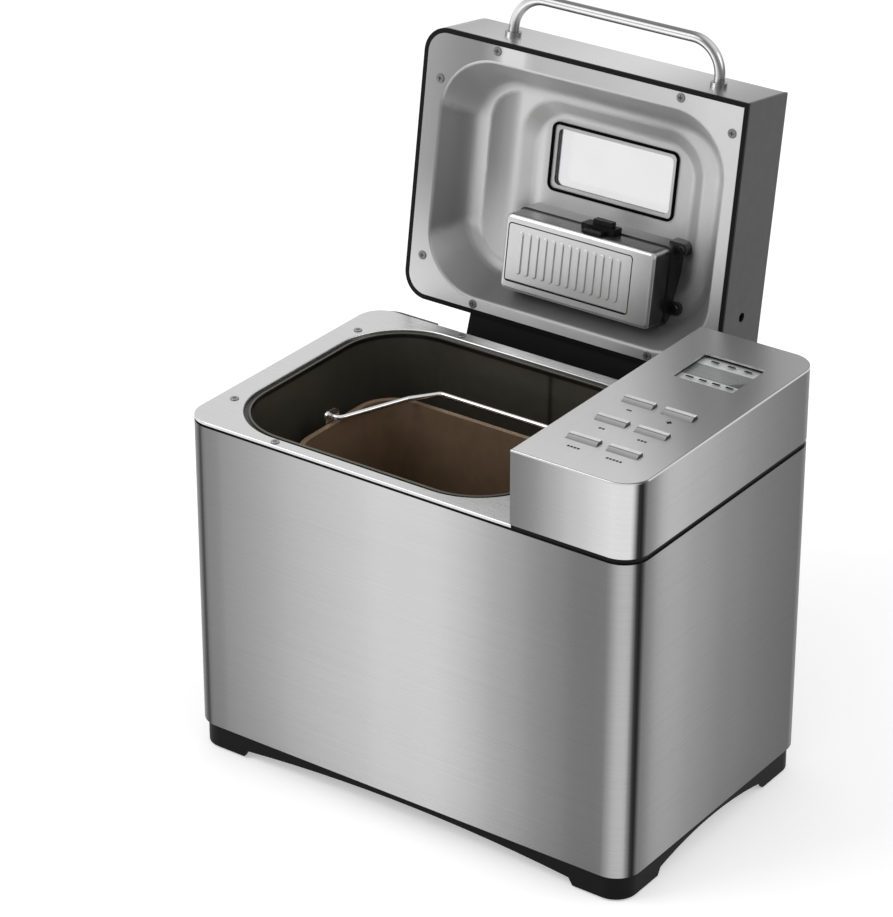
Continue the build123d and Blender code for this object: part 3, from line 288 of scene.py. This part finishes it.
def layered_tone(tree, layers):
    """Tone of a formed sheet, mostly painted reflections and painted shade: each layer is laid over the ones
    before it where its mask lets it.
    """
    place = add_node(tree, "ShaderNodeTexCoord")
    tone = None
    for layer in layers:
        shade = layer.tones
        if layer.source:
            value = along(tree, place.outputs[layer.source], layer.direction)
            shade = tone_ramp(tree, remap(tree, value, layer.span, UNIT), layer.tones)
        if tone is None:
            tone = shade
        else:
            mask = along(tree, place.outputs[layer.mask], layer.toward)
            tone = blend_values(tree, remap(tree, mask, layer.fade, UNIT, True), tone, shade)
    return tone


def tinted(tree, colour, tone):
    """A constant colour scaled by a tone that varies over the surface."""
    node = add_node(tree, "ShaderNodeMix", data_type="RGBA", blend_type="MULTIPLY")
    node.inputs["Factor"].default_value = 1.0
    node.inputs["A"].default_value = (*colour, 1.0)
    tree.links.new(tone, node.inputs["B"])
    return node.outputs["Result"]


def bumped(tree, bsdf, height, strength, distance):
    node = add_node(tree, "ShaderNodeBump")
    node.inputs["Strength"].default_value = strength
    node.inputs["Distance"].default_value = distance
    tree.links.new(height, node.inputs["Height"])
    tree.links.new(node.outputs["Normal"], bsdf.inputs["Normal"])


def plain_finish(name, colour, rough, swing=0.08, metallic=0.0, stretch=ISOTROPIC, scale=900.0,
                 tone=0.1, bump=0.1, specular=0.5, coat=0.0):
    """Colour, roughness and relief that vary with one fine noise."""
    material, tree, bsdf = start_material(name)
    grain = surface_noise(tree, stretch, scale)
    tree.links.new(tinted(tree, colour, swing_about(tree, grain, 1.0, tone)), bsdf.inputs["Base Color"])
    tree.links.new(swing_about(tree, grain, rough, swing), bsdf.inputs["Roughness"])
    bumped(tree, bsdf, grain, bump, RELIEF)
    bsdf.inputs["Metallic"].default_value = metallic
    bsdf.inputs["Specular IOR Level"].default_value = specular
    bsdf.inputs["Coat Weight"].default_value = coat
    return material


def formed_metal(name, colour, layers, grain=EVEN_GRAIN, rough=0.3, metallic=1.0, grain_tone=0.04,
                 brushed_about=None):
    """Formed sheet: a grain over the slow tone of its faces, corners and folds, mostly painted reflections
    and painted shade.
    """
    material, tree, bsdf = start_material(name)
    even = grain == EVEN_GRAIN
    streaks = surface_noise(tree, grain, GRAIN_SCALE, EVEN_DETAIL if even else BRUSHED_DETAIL)
    broad = surface_noise(tree, ISOTROPIC, DRIFT_SCALE, DRIFT_DETAIL)
    streak = swing_about(tree, streaks, 1.0, grain_tone)
    drift = swing_about(tree, broad, 1.0, DRIFT_TONE)
    tone = multiply(tree, multiply(tree, layered_tone(tree, layers), streak), drift)
    tree.links.new(tinted(tree, colour, tone), bsdf.inputs["Base Color"])
    tree.links.new(swing_about(tree, streaks, rough, grain_tone), bsdf.inputs["Roughness"])
    bsdf.inputs["Metallic"].default_value = metallic
    if not even:
        bumped(tree, bsdf, streaks, BRUSHED_BUMP, BRUSHED_RELIEF)
    if brushed_about:
        bsdf.inputs["Anisotropic"].default_value = BRUSHED_SHEEN
        turn = add_node(tree, "ShaderNodeTangent", direction_type="RADIAL", axis=brushed_about)
        tree.links.new(turn.outputs["Tangent"], bsdf.inputs["Tangent"])
    return material


def clear_pane(name, colour, rough, alpha=1.0):
    """Clear pane with faint smears: glass that refracts, or below full alpha a film that doesn't."""
    material, tree, bsdf = start_material(name)
    smear = surface_noise(tree, ISOTROPIC, SMEAR_SCALE, SMEAR_DETAIL)
    tint = tinted(tree, colour, remap(tree, smear, NOISE_SPAN, SMEAR_TONES))
    tree.links.new(tint, bsdf.inputs["Base Color"])
    tree.links.new(remap(tree, smear, SMEAR_SPAN, (rough, rough + SMEAR_ROUGH)), bsdf.inputs["Roughness"])
    bsdf.inputs["IOR"].default_value = GLASS_IOR
    if alpha < 1.0:
        bsdf.inputs["Alpha"].default_value = alpha
    else:
        bsdf.inputs["Transmission Weight"].default_value = 1.0
    return material


def dress(names, material):
    """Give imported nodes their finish, with smooth curves, sharp folds and even normals."""
    for name in names:
        if name not in NODES:
            raise RuntimeError(f"the frame has no node {name}")
        mesh = NODES[name].data
        mesh.materials.clear()
        mesh.materials.append(material)
        mesh.shade_smooth()
        mesh.set_sharp_from_angle(angle=SHARP_ANGLE)
        even = NODES[name].modifiers.new("even_normals", "WEIGHTED_NORMAL")
        even.keep_sharp = True


def screw_heads(name, direction, colour):
    """Zinc heads with a painted highlight on the land, and painted shade in the cross and down at the rim.
    """
    top = max(vertex.co.dot(Vector(direction)) for vertex in NODES[name].data.vertices)
    dress([name], formed_metal(f"{name}_zinc", colour, [
        Layer("Object", direction, (top - HEAD_RISE, top), [
            (0.0, 0.02), (0.3, 0.08), (0.7, 0.8), (1.0, 1.2)])],
        metallic=0.7, grain_tone=0.02))


def new_piece(name, bm, material, body):
    """Turn a drawn shape into a piece of the part that rides on a body."""
    mesh = bpy.data.meshes.new(name)
    bm.to_mesh(mesh)
    bm.free()
    piece = bpy.data.objects.new(name, mesh)
    bpy.context.scene.collection.objects.link(piece)
    mesh.materials.append(material)
    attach(piece, body)


def flat_bar(bm, centre, width, depth, height, corner=0.3):
    """A thin printed bar with clipped corners."""
    w, d = width / 2, depth / 2
    c = min(w, d) * corner
    ring = [
        (-w + c, -d), (w - c, -d), (w, -d + c), (w, d - c),
        (w - c, d), (-w + c, d), (-w, d - c), (-w, -d + c),
    ]
    low = [bm.verts.new((centre[0] + x, centre[1] + y, centre[2])) for x, y in ring]
    high = [bm.verts.new((centre[0] + x, centre[1] + y, centre[2] + height)) for x, y in ring]
    bm.faces.new(list(reversed(low)))
    bm.faces.new(high)
    count = len(ring)
    for k in range(count):
        bm.faces.new((low[k], low[(k + 1) % count], high[(k + 1) % count], high[k]))


class BREADMACHINE_OT_steel_skin(Operator):
    """Brushed steel of the body wrap, the control tower, the top plate and the lid shell, with painted
    reflections
    """
    bl_idname = "breadmachine.steel_skin"
    bl_label = "Steel skin"

    def execute(self, context):
        steel = context.scene.breadmachine_colours.steel
        dress(["wrap"], formed_metal(
            "wrap_steel", steel, self.wrap_layers(), GRAIN_XY, brushed_about="Z"))
        dress(["tower_shell"], formed_metal(
            "tower_steel", steel, self.tower_layers(), GRAIN_XY, brushed_about="Z"))
        dress(["tower_top"], formed_metal("tower_top_steel", steel, [
            # Painted reflection along SHEEN, with a painted shade line and painted highlight on the edges
            # facing right and front.
            Layer("Object", SHEEN, (0.03, 0.18), [
                (0.05, 1.5), (0.23, 1.1), (0.41, 0.9), (0.57, 0.6), (0.7, 0.36), (0.89, 0.42), (1.0, 0.5)]),
            Layer("Normal", X, UNIT, EDGE_PAINTED_SHADE_AND_HIGHLIGHT, X, EDGE_FADE),
            Layer("Normal", FRONT, UNIT, EDGE_PAINTED_SHADE_AND_HIGHLIGHT, FRONT, EDGE_FADE)],
            GRAIN_Y, metallic=0.6, grain_tone=0.025, brushed_about="X"))
        dress(["top_plate"], formed_metal("plate_steel", steel, [
            # Painted reflection along SHEEN, darkening toward the right rear.
            Layer("Object", SHEEN, (-0.15, 0.15), [(0.0, 1.0), (0.4, 1.1), (0.6, 0.7), (0.95, 0.35)])],
            GRAIN_X, brushed_about="Y"))
        dress(["lid_shell"], formed_metal("lid_steel", steel, [
            # Painted reflection band across the width of the lid shell, lightest left of the middle and
            # darkest at the right.
            Layer("Object", X, WIDE, [
                (0.0, 0.5), (0.15, 0.71), (0.28, 0.84), (0.47, 0.94), (0.62, 0.6), (0.74, 0.3)])],
            GRAIN_X, brushed_about="Y"))
        return {"FINISHED"}

    def wrap_layers(self):
        """Painted reflections: front with one broad light band, the right corner's dark line, and the right
        and left sides.
        """
        return [
            Layer("Object", X, WIDE, [
                (0.05, 0.30), (0.09, 0.39), (0.234, 0.61), (0.421, 0.825), (0.513, 0.87), (0.603, 0.825),
                (0.689, 0.62), (0.776, 0.435), (0.861, 0.295), (0.92, 0.245), (0.96, 0.27)]),
            Layer("Normal", X, UNIT, [
                (0.0, 0.27), (0.3, 0.5), (0.55, 0.63), (0.74, 0.55),
                (0.84, 0.16), (0.9, 0.03), (0.95, 0.08), (1.0, 0.28)], X, CORNER_FADE),
            Layer("Object", Y, DEEP, [
                (0.084, 0.28), (0.13, 0.45), (0.2, 0.53), (0.31, 0.46),
                (0.478, 0.335), (0.648, 0.25), (0.947, 0.15)], X, FLAT_FADE),
            Layer("Normal", X, (-1, 0), [
                (0.0, 0.3), (0.6, 0.12), (0.8, 0.05), (1.0, 0.3)], LEFT, (0.02, 0.3)),
        ]

    def tower_layers(self):
        """Painted reflections on a front that brightens to the right corner, the corner's dark line and the
        right side, and painted shade over the left side.
        """
        return [
            Layer("Object", X, WIDE, [
                (0.7526, 0.28), (0.804, 0.43), (0.855, 0.655), (0.904, 0.815), (0.953, 0.98)]),
            Layer("Normal", X, UNIT, [
                (0.0, 0.98), (0.35, 1.05), (0.64, 1.12), (0.76, 0.75),
                (0.84, 0.16), (0.9, 0.03), (0.95, 0.08), (1.0, 0.28)], X, CORNER_FADE),
            Layer("Object", Y, DEEP, [
                (0.084, 0.28), (0.13, 0.5), (0.184, 0.66), (0.3, 0.6),
                (0.45, 0.48), (0.6, 0.36), (0.86, 0.21)], X, FLAT_FADE),
            # Painted shade over the faces turned left.
            Layer(tones=0.3, toward=LEFT, fade=(0.5, 0.8)),
        ]


class BREADMACHINE_OT_lid_inside(Operator):
    """Drawn liner, grey end panel, rim band, window and screws of the lid"""
    bl_idname = "breadmachine.lid_inside"
    bl_label = "Lid inside"

    def execute(self, context):
        colours = context.scene.breadmachine_colours
        dress(["lid_liner"], formed_metal(
            "liner_drawn_steel", colours.liner, self.liner_layers(),
            rough=0.46, metallic=0.65, grain_tone=0.01))
        dress(["lid_end"], formed_metal("lid_end_grey", colours.end_grey, [
            # Painted shade low on the end panel passing to a painted highlight at the top, with its faces
            # turned up the lid and to the front held at plain tone.
            Layer("Object", Z, LID_HEIGHTS, [(0.0, 0.75), (0.5, 0.9), (1.0, 1.2)]),
            Layer(tones=1.0, toward=DOWN_LID, fade=(-0.3, -0.7)),
            Layer(tones=1.0, toward=FRONT, fade=(0.3, 0.7))],
            rough=0.42, metallic=0.4, grain_tone=0.03))
        dress(["lid_rim"], plain_finish(
            "rim_black", colours.black, rough=0.4, swing=0.05, scale=700, bump=0.08, specular=0.1))
        dress(["window_gasket"], plain_finish(
            "gasket_black", grey(0.002), rough=0.55, tone=0.12, specular=0.02))
        dress(["window_inner", "window_outer"], clear_pane("window_glass", (0.87, 0.87, 0.875), rough=0.0))
        screw_heads("lid_screws", OUT_LID, grey(0.2))
        dress(["solenoid"], plain_finish(
            "coil_lacquer", (0.2, 0.09, 0.03), rough=0.4, swing=0.1, metallic=0.2,
            stretch=(4, 600, 600), scale=1.0, tone=0.2, bump=0.3))
        return {"FINISHED"}

    def liner_layers(self):
        """Painted reflections and painted shade: floor bands, lower part, walls facing right, left, down and
        up, and a painted shade at the lower right.
        """
        return [
            Layer("Object", X, WIDE, [
                (0.01, 0.5), (0.05, 0.44), (0.105, 0.38), (0.145, 0.42), (0.175, 0.7), (0.209, 1.5),
                (0.24, 0.8), (0.3, 0.72), (0.45, 0.8), (0.6, 0.9), (0.66, 1.0), (0.73, 1.1)]),
            Layer("Object", X, WIDE, [
                (0.0, 1.4), (0.15, 1.4), (0.3, 1.0), (0.5, 0.8), (0.63, 0.5), (0.7, 0.7), (0.73, 0.9)],
                DOWN, (-0.38, -0.27), "Object"),
            Layer("Object", X, WIDE, [
                (0.06, 0.4), (0.085, 0.5), (0.105, 1.3), (0.125, 0.6), (0.145, 0.4), (0.175, 0.7),
                (0.209, 1.5), (0.24, 0.8), (0.3, 0.65)], X, WALL_FADE),
            Layer("Normal", LEFT, UNIT, [
                (0.0, 0.85), (0.25, 1.0), (0.5, 0.9), (0.87, 0.95)], LEFT, WALL_FADE),
            Layer("Object", X, WIDE, [
                (0.1, 0.9), (0.15, 1.3), (0.2, 1.5), (0.25, 1.4),
                (0.3, 1.15), (0.45, 1.05), (0.6, 1.1), (0.73, 1.2)], DOWN_LID, WALL_FADE),
            Layer("Normal", UP_LID, UNIT, [
                (0.0, 0.6), (0.25, 0.55), (0.5, 0.4), (0.87, 0.28)], UP_LID, WALL_FADE),
            Layer(tones=0.36, toward=LOW_RIGHT_LID, fade=(-0.056, -0.016), mask="Object"),
        ]


class BREADMACHINE_OT_handle(Operator):
    """Polished tube handle of the lid with its collars, with painted reflection bands"""
    bl_idname = "breadmachine.handle"
    bl_label = "Lid handle"

    def execute(self, context):
        chrome = context.scene.breadmachine_colours.chrome
        dress(["lid_handle", "handle_collars"], formed_metal("handle_chrome", chrome, [
            # Painted reflection bands across the tube, by its facing along TUBE_LIGHT.
            Layer("Normal", TUBE_LIGHT, BOTH_WAYS, [
                (0.0, 0.4), (0.25, 0.08), (0.42, 0.2), (0.56, 0.85),
                (0.66, 1.0), (0.78, 0.4), (0.9, 0.25), (1.0, 0.8)])],
            rough=0.16, grain_tone=0.02))
        return {"FINISHED"}


class BREADMACHINE_OT_dispenser(Operator):
    """Ribbed dispenser door, its steel cover, black bin, latch and screws"""
    bl_idname = "breadmachine.dispenser"
    bl_label = "Dispenser"

    def execute(self, context):
        colours = context.scene.breadmachine_colours
        steel = colours.steel
        low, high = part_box("dispenser_cover")
        wide = (low.x, high.x)
        # Painted reflection across the face, darkening to the right.
        face = Layer("Object", X, wide, [(0.0, 1.2), (0.4, 1.25), (0.75, 1.1), (1.0, 0.6)])
        satin = {"rough": 0.26, "metallic": 0.7, "grain_tone": 0.01}
        dress(["dispenser_flap"], formed_metal("flap_steel", steel, [face], **satin))
        dress(["dispenser_cover"], formed_metal("cover_steel", steel, [
            face,
            # Painted shade on the cover's sides turned up the lid and to the right.
            Layer("Object", X, wide, [(0.0, 0.3), (0.4, 0.25), (1.0, 0.08)], UP_LID, FACE_FADE),
            Layer("Object", X, wide, [(0.0, 0.2), (1.0, 0.08)], X, FACE_FADE)], **satin))
        dress(["dispenser_box"], formed_metal("bin_moulding", grey(0.3), [
            Layer(tones=0.02),
            # Painted light on the bin's face turned up the lid, bright at the left and fading to the right,
            # over its own black.
            Layer("Object", X, wide, [
                (0.0, 1.9), (0.35, 1.7), (0.6, 1.0), (0.85, 0.5), (1.0, 0.1)], UP_LID, FACE_FADE)],
            rough=0.42, metallic=0.0, grain_tone=0.02))
        dress(["dispenser_latch"], plain_finish(
            "latch_black", colours.black, rough=0.38, swing=0.06, scale=800, tone=0.15, specular=0.12))
        dress(["dispenser_screws"], plain_finish(
            "bin_screw_zinc", grey(0.05), rough=0.3, metallic=1.0, scale=600, bump=0.08))
        return {"FINISHED"}


class BREADMACHINE_OT_oven(Operator):
    """Enamelled chamber with its heater, clips, probe and pan seat"""
    bl_idname = "breadmachine.oven"
    bl_label = "Oven chamber"

    def execute(self, context):
        oven = context.scene.breadmachine_colours.oven
        dress(["chamber"], formed_metal(
            "chamber_enamel", oven, self.chamber_layers(), rough=0.34, metallic=0.35))
        dress(["heater"], plain_finish(
            "heater_oxide", (0.06, 0.05, 0.045), rough=0.55, swing=0.1, metallic=0.6, scale=300, tone=0.25))
        dress(["heater_clips", "temp_probe"], plain_finish(
            "clip_steel", grey(0.45), rough=0.35, metallic=1.0, stretch=DRAWN_ALONG_X, scale=2.0, bump=0.05))
        dress(["pan_seat"], plain_finish(
            "seat_cast", grey(0.5), rough=0.45, metallic=1.0, scale=400, tone=0.12, bump=0.12))
        return {"FINISHED"}

    def chamber_layers(self):
        """Painted reflections on walls lightest at the left, a seam in the rear wall, painted shade
        darkening the neck, and a plain rim.
        """
        low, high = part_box("chamber")
        neck = [high.z - depth for depth in NECK_DEPTHS]
        rim = [high.z - depth for depth in RIM_DEPTHS]
        return [
            Layer("Object", SHEEN, (-0.17, 0.1), [
                (0.0, 1.7), (0.12, 1.1), (0.3, 0.8), (0.55, 1.0), (0.85, 1.15), (1.0, 1.0)]),
            # Rear wall: painted reflection lightening to the right, with the dark seam line.
            Layer("Object", X, (low.x, high.x), [
                (0.0, 0.8), (0.3, 0.95), (0.6, 1.1), (0.613, 0.3), (0.626, 1.15), (1.0, 1.0)],
                FRONT, FACE_FADE),
            # Painted shade: a dark band in the neck below the rim.
            Layer(tones=0.06, toward=Z, fade=neck, mask="Object"),
            Layer(tones=1.0, toward=Z, fade=rim, mask="Object"),
        ]


class BREADMACHINE_OT_pan(Operator):
    """Non-stick pan with its base, bail, shaft and kneading paddle"""
    bl_idname = "breadmachine.pan"
    bl_label = "Bread pan"

    def execute(self, context):
        colours = context.scene.breadmachine_colours
        low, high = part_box("pan")
        dress(["pan", "paddle"], formed_metal("pan_non_stick", colours.non_stick, [
            # Painted shade darker down the pan and a painted highlight at its rim, with faces turned up held
            # at plain tone.
            Layer("Object", Z, (low.z, high.z), [(0.0, 0.55), (0.6, 0.75), (0.95, 1.1), (1.0, 1.4)]),
            Layer(tones=1.0, toward=Z, fade=(0.5, 0.9))], rough=0.36, metallic=0.5))
        dress(["bail", "bail_lugs"], formed_metal("bail_chrome", colours.chrome, [
            # Painted reflection bands across the wire, by its facing along WIRE_LIGHT.
            Layer("Normal", WIRE_LIGHT, BOTH_WAYS, [
                (0.0, 0.3), (0.3, 0.12), (0.55, 0.5), (0.75, 1.1), (0.9, 0.7), (1.0, 0.9)])],
            rough=0.18, grain_tone=0.02))
        dress(["pan_base", "drive_coupler", "motor_pulley"], plain_finish(
            "cast_metal", (0.5, 0.5, 0.51), rough=0.42, metallic=1.0, scale=380, bump=0.12))
        dress(["pan_shaft"], plain_finish(
            "shaft_steel", grey(0.5), rough=0.28, swing=0.06, metallic=1.0,
            stretch=(260, 260, 3), scale=1.5, tone=0.08, bump=0.04))
        return {"FINISHED"}


class BREADMACHINE_OT_drive(Operator):
    """Motor, belt drive, chassis and boards inside the body"""
    bl_idname = "breadmachine.drive"
    bl_label = "Drive"

    def execute(self, context):
        dress(["motor"], plain_finish(
            "motor_paint", (0.05, 0.05, 0.055), rough=0.45, metallic=0.2, scale=500, tone=0.15))
        dress(["drive_pulley"], plain_finish(
            "pulley_nylon", (0.62, 0.6, 0.55), rough=0.5, swing=0.06, scale=300, tone=0.05, bump=0.05))
        dress(["drive_belt"], plain_finish(
            "belt_rubber", grey(0.015), rough=0.65, swing=0.1,
            stretch=(1, 1, 400), scale=2.0, tone=0.2, bump=0.2))
        dress(["chassis", "shaft_bearing", "drive_shaft", "hinge_pin"], plain_finish(
            "chassis_steel", (0.45, 0.45, 0.46), rough=0.38, metallic=1.0,
            stretch=DRAWN_ALONG_X, scale=2.0, tone=0.08, bump=0.05))
        dress(["capacitor"], plain_finish(
            "capacitor_can", (0.6, 0.6, 0.62), rough=0.3, swing=0.06, metallic=1.0,
            stretch=(200, 200, 3), scale=2.0, tone=0.06, bump=0.04))
        dress(["power_board", "control_board"], plain_finish(
            "board_mask", (0.02, 0.13, 0.05), rough=0.3, swing=0.1,
            scale=500, tone=0.25, bump=0.15, coat=0.3))
        return {"FINISHED"}


class BREADMACHINE_OT_controls(Operator):
    """Bar keys, display window and the printed marks of the control tower"""
    bl_idname = "breadmachine.controls"
    bl_label = "Controls"

    def execute(self, context):
        sizes = context.scene.breadmachine_sizes
        colours = context.scene.breadmachine_colours
        keys = [f"button_{k + 1}" for k in range(KEY_COUNT)]
        for name in keys:
            dress([name], self.key_satin_and_painted_shade(name, colours.chrome))
        dress(["lcd_bezel"], plain_finish(
            "bezel_black", colours.black, rough=0.4, swing=0.06,
            scale=800, tone=0.12, bump=0.08, specular=0.1))
        dress(["lcd_lens"], clear_pane("display_lens", (0.2, 0.2, 0.21), rough=0.04, alpha=0.06))
        dress(["lcd_panel"], self.display_film())
        ink = plain_finish("print_ink", (0.02, 0.02, 0.022), rough=0.5, tone=0.2, bump=0.05, specular=0.1)
        self.key_marks(keys, sizes, ink)
        self.display_marks(sizes, ink)
        return {"FINISHED"}

    def key_satin_and_painted_shade(self, name, chrome):
        """Bright rear half, with painted shade on the front half and on the right end of a bar key."""
        low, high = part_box(name)
        middle = (low.y + high.y) / 2
        return formed_metal(f"{name}_satin", chrome, [
            Layer("Object", Y, (middle - KEY_HALF_DEPTH, middle + KEY_HALF_DEPTH), [
                (0.0, 0.14), (0.36, 0.24), (0.5, 0.3), (0.6, 1.0), (1.0, 1.0)]),
            Layer(tones=0.15, toward=X, fade=(0.4, 0.8))], rough=0.4, grain_tone=0.02)

    def display_film(self):
        """Grey film with a painted slanting sheen between two pale strips."""
        low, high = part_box("lcd_panel")
        deep = high.y - low.y
        wide = (low.x, high.x)
        strip = [(0.0, 0.85), (1.0, 0.75)]
        rear = [low.y + share * deep for share in REAR_STRIP]
        front = [-low.y - share * deep for share in FRONT_STRIP]
        return formed_metal("display_film", (0.8, 0.81, 0.81), [
            Layer("Object", DISPLAY_SHEEN, (0.04, 0.1), [
                (0.3, 0.3), (0.48, 0.28), (0.5, 0.14), (0.8, 0.16)]),
            Layer("Object", X, wide, strip, Y, rear, "Object"),
            Layer("Object", X, wide, strip, FRONT, front, "Object")], GRAIN_X, metallic=0.0)

    def key_marks(self, keys, sizes, ink):
        """A plain mark in front of each key: a minus and a plus at the rear row, dashes at the others."""
        bm = bmesh.new()
        long, stroke, film = sizes.mark_height, sizes.mark_stroke, sizes.print_film
        for index, name in enumerate(keys):
            low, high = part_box(name)
            spot = Vector(((low.x + high.x) / 2, (low.y + high.y) / 2 - MARK_STEP, TOWER_TOP_Z))
            if index < SIGN_KEYS:
                flat_bar(bm, spot, long, stroke * SIGN_STROKES, film)
                if index == PLUS_KEY:
                    flat_bar(bm, spot, stroke * SIGN_STROKES, long, film)
                continue
            for k in range(index):
                shift = Vector(((k - (index - 1) / 2) * long * DASH_PITCH, 0, 0))
                flat_bar(bm, spot + shift, long * DASH_LENGTH, stroke * DASH_STROKES, film)
        new_piece("key_marks", bm, ink, "body")

    def display_marks(self, sizes, ink):
        """Rows of dashes on the two pale strips of the display."""
        bm = bmesh.new()
        low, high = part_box("lcd_lens")
        wide, deep = high.x - low.x, high.y - low.y
        for row, count in DISPLAY_ROWS:
            for k in range(count):
                spot = (low.x + wide * (k + 1) / (count + 1), low.y + deep * row, high.z)
                flat_bar(bm, spot, sizes.dash_length, sizes.mark_stroke * DISPLAY_STROKES, sizes.print_film)
        new_piece("display_marks", bm, ink, "body")


class BREADMACHINE_OT_base_and_rear(Operator):
    """Black base, feet, seam frame, hinge, rear panel, cord gland and plate screws"""
    bl_idname = "breadmachine.base_and_rear"
    bl_label = "Base and rear"

    def execute(self, context):
        black = context.scene.breadmachine_colours.black
        dress(["base"], plain_finish(
            "base_black", black, rough=0.5, swing=0.06, scale=1100, tone=0.15, bump=0.12, specular=0.08))
        dress(["foot_pads"], plain_finish("foot_rubber", grey(0.02), rough=0.75, tone=0.15, bump=0.15))
        dress(["top_frame", "hinge_trough", "hinge_leaf", "cord_gland"], plain_finish(
            "trim_black", black, rough=0.42, swing=0.06, tone=0.12, specular=0.1))
        dress(["rear_panel"], plain_finish(
            "rear_paint", (0.2, 0.2, 0.205), rough=0.45, swing=0.05, metallic=0.3, tone=0.05, bump=0.06))
        screw_heads("plate_screws", Z, grey(0.28))
        return {"FINISHED"}


def soft_box(name, location, size, power):
    """A rectangular area lamp turned to the machine."""
    light = bpy.data.lights.new(name, "AREA")
    light.shape = "RECTANGLE"
    light.size, light.size_y = size
    light.energy = power
    lamp = bpy.data.objects.new(name, light)
    bpy.context.scene.collection.objects.link(lamp)
    lamp.location = location
    lamp.rotation_euler = (Vector(LAMP_TARGET) - Vector(location)).to_track_quat("-Z", "Y").to_euler()


def seen_directly(tree):
    """One where the camera, a reflection or glass looks at it, zero for the light it throws."""
    path = add_node(tree, "ShaderNodeLightPath")
    seen = path.outputs["Is Camera Ray"]
    for ray in ("Is Glossy Ray", "Is Transmission Ray"):
        either = add_node(tree, "ShaderNodeMath", operation="MAXIMUM")
        tree.links.new(seen, either.inputs[0])
        tree.links.new(path.outputs[ray], either.inputs[1])
        seen = either.outputs[0]
    return seen


class BREADMACHINE_OT_stage(Operator):
    """Pale floor, white surround, soft boxes and the camera"""
    bl_idname = "breadmachine.stage"
    bl_label = "Stage"

    def execute(self, context):
        scene = context.scene
        sizes = scene.breadmachine_sizes
        scene.view_settings.view_transform = "Standard"
        self.add_floor(scene, sizes.floor_size, scene.breadmachine_colours.floor)
        self.add_surround(scene)
        soft_box("key_soft_box", KEY_BOX_PLACE, KEY_BOX_SIZE, sizes.key_power)
        soft_box("fill_soft_box", FILL_BOX_PLACE, FILL_BOX_SIZE, sizes.fill_power)
        self.add_camera(scene, sizes.lens)
        return {"FINISHED"}

    def add_floor(self, scene, size, colour):
        bm = bmesh.new()
        half = size / 2
        corners = [bm.verts.new((x * half, y * half, 0)) for x, y in ((-1, -1), (1, -1), (1, 1), (-1, 1))]
        bm.faces.new(corners)
        bmesh.ops.subdivide_edges(bm, edges=bm.edges[:], cuts=FLOOR_CUTS, use_grid_fill=True)
        mesh = bpy.data.meshes.new("studio_floor")
        bm.to_mesh(mesh)
        bm.free()
        floor = bpy.data.objects.new("studio_floor", mesh)
        scene.collection.objects.link(floor)
        mesh.materials.append(self.floor_paper(colour))

    def floor_paper(self, colour):
        """Dull paper that glows a little where it is looked at."""
        material, tree, bsdf = start_material("floor_paper")
        tooth = surface_noise(tree, ISOTROPIC, PAPER_SCALE)
        tint = tinted(tree, colour, remap(tree, tooth, NOISE_SPAN, PAPER_TONES))
        tree.links.new(tint, bsdf.inputs["Base Color"])
        bsdf.inputs["Roughness"].default_value = PAPER_ROUGH
        bsdf.inputs["Specular IOR Level"].default_value = PAPER_SPECULAR
        glow = remap(tree, seen_directly(tree), UNIT, (0.0, FLOOR_GLOW))
        tree.links.new(glow, bsdf.inputs["Emission Strength"])
        bsdf.inputs["Emission Color"].default_value = WHITE
        return material

    def add_surround(self, scene):
        world = bpy.data.worlds.new("studio_surround")
        scene.world = world
        world.use_nodes = True
        tree = world.node_tree
        back = tree.nodes["Background"]
        back.inputs["Color"].default_value = WHITE
        tree.links.new(remap(tree, seen_directly(tree), UNIT, SURROUND_LIGHT), back.inputs["Strength"])

    def add_camera(self, scene, lens):
        camera = bpy.data.cameras.new("studio_camera")
        camera.sensor_width = SENSOR_WIDTH
        camera.lens = lens
        camera.clip_start, camera.clip_end = CAMERA_CLIP
        view = bpy.data.objects.new("studio_camera", camera)
        scene.collection.objects.link(view)
        view.location = CAMERA_PLACE
        view.rotation_euler = CAMERA_TURN
        scene.camera = view


class BREADMACHINE_PT_sidebar(Panel):
    """Lists the finishing steps of the bread machine"""
    bl_idname = "BREADMACHINE_PT_sidebar"
    bl_label = "Bread machine"
    bl_space_type = "VIEW_3D"
    bl_region_type = "UI"
    bl_category = "Bread machine"

    def draw(self, context):
        for step in STEPS:
            self.layout.operator(step.bl_idname)


STEPS = (
    BREADMACHINE_OT_steel_skin,
    BREADMACHINE_OT_lid_inside,
    BREADMACHINE_OT_handle,
    BREADMACHINE_OT_dispenser,
    BREADMACHINE_OT_oven,
    BREADMACHINE_OT_pan,
    BREADMACHINE_OT_drive,
    BREADMACHINE_OT_controls,
    BREADMACHINE_OT_base_and_rear,
    BREADMACHINE_OT_stage,
)
CLASSES = (BreadMachineSizes, BreadMachineColours, *STEPS, BREADMACHINE_PT_sidebar)


def register():
    for item in CLASSES:
        bpy.utils.register_class(item)
    bpy.types.Scene.breadmachine_sizes = PointerProperty(type=BreadMachineSizes)
    bpy.types.Scene.breadmachine_colours = PointerProperty(type=BreadMachineColours)


def unregister():
    del bpy.types.Scene.breadmachine_colours
    del bpy.types.Scene.breadmachine_sizes
    for item in reversed(CLASSES):
        bpy.utils.unregister_class(item)


def main():
    register()
    bpy.ops.breadmachine.steel_skin()
    bpy.ops.breadmachine.lid_inside()
    bpy.ops.breadmachine.handle()
    bpy.ops.breadmachine.dispenser()
    bpy.ops.breadmachine.oven()
    bpy.ops.breadmachine.pan()
    bpy.ops.breadmachine.drive()
    bpy.ops.breadmachine.controls()
    bpy.ops.breadmachine.base_and_rear()
    bpy.ops.breadmachine.stage()


if __name__ == "__main__":
    main()
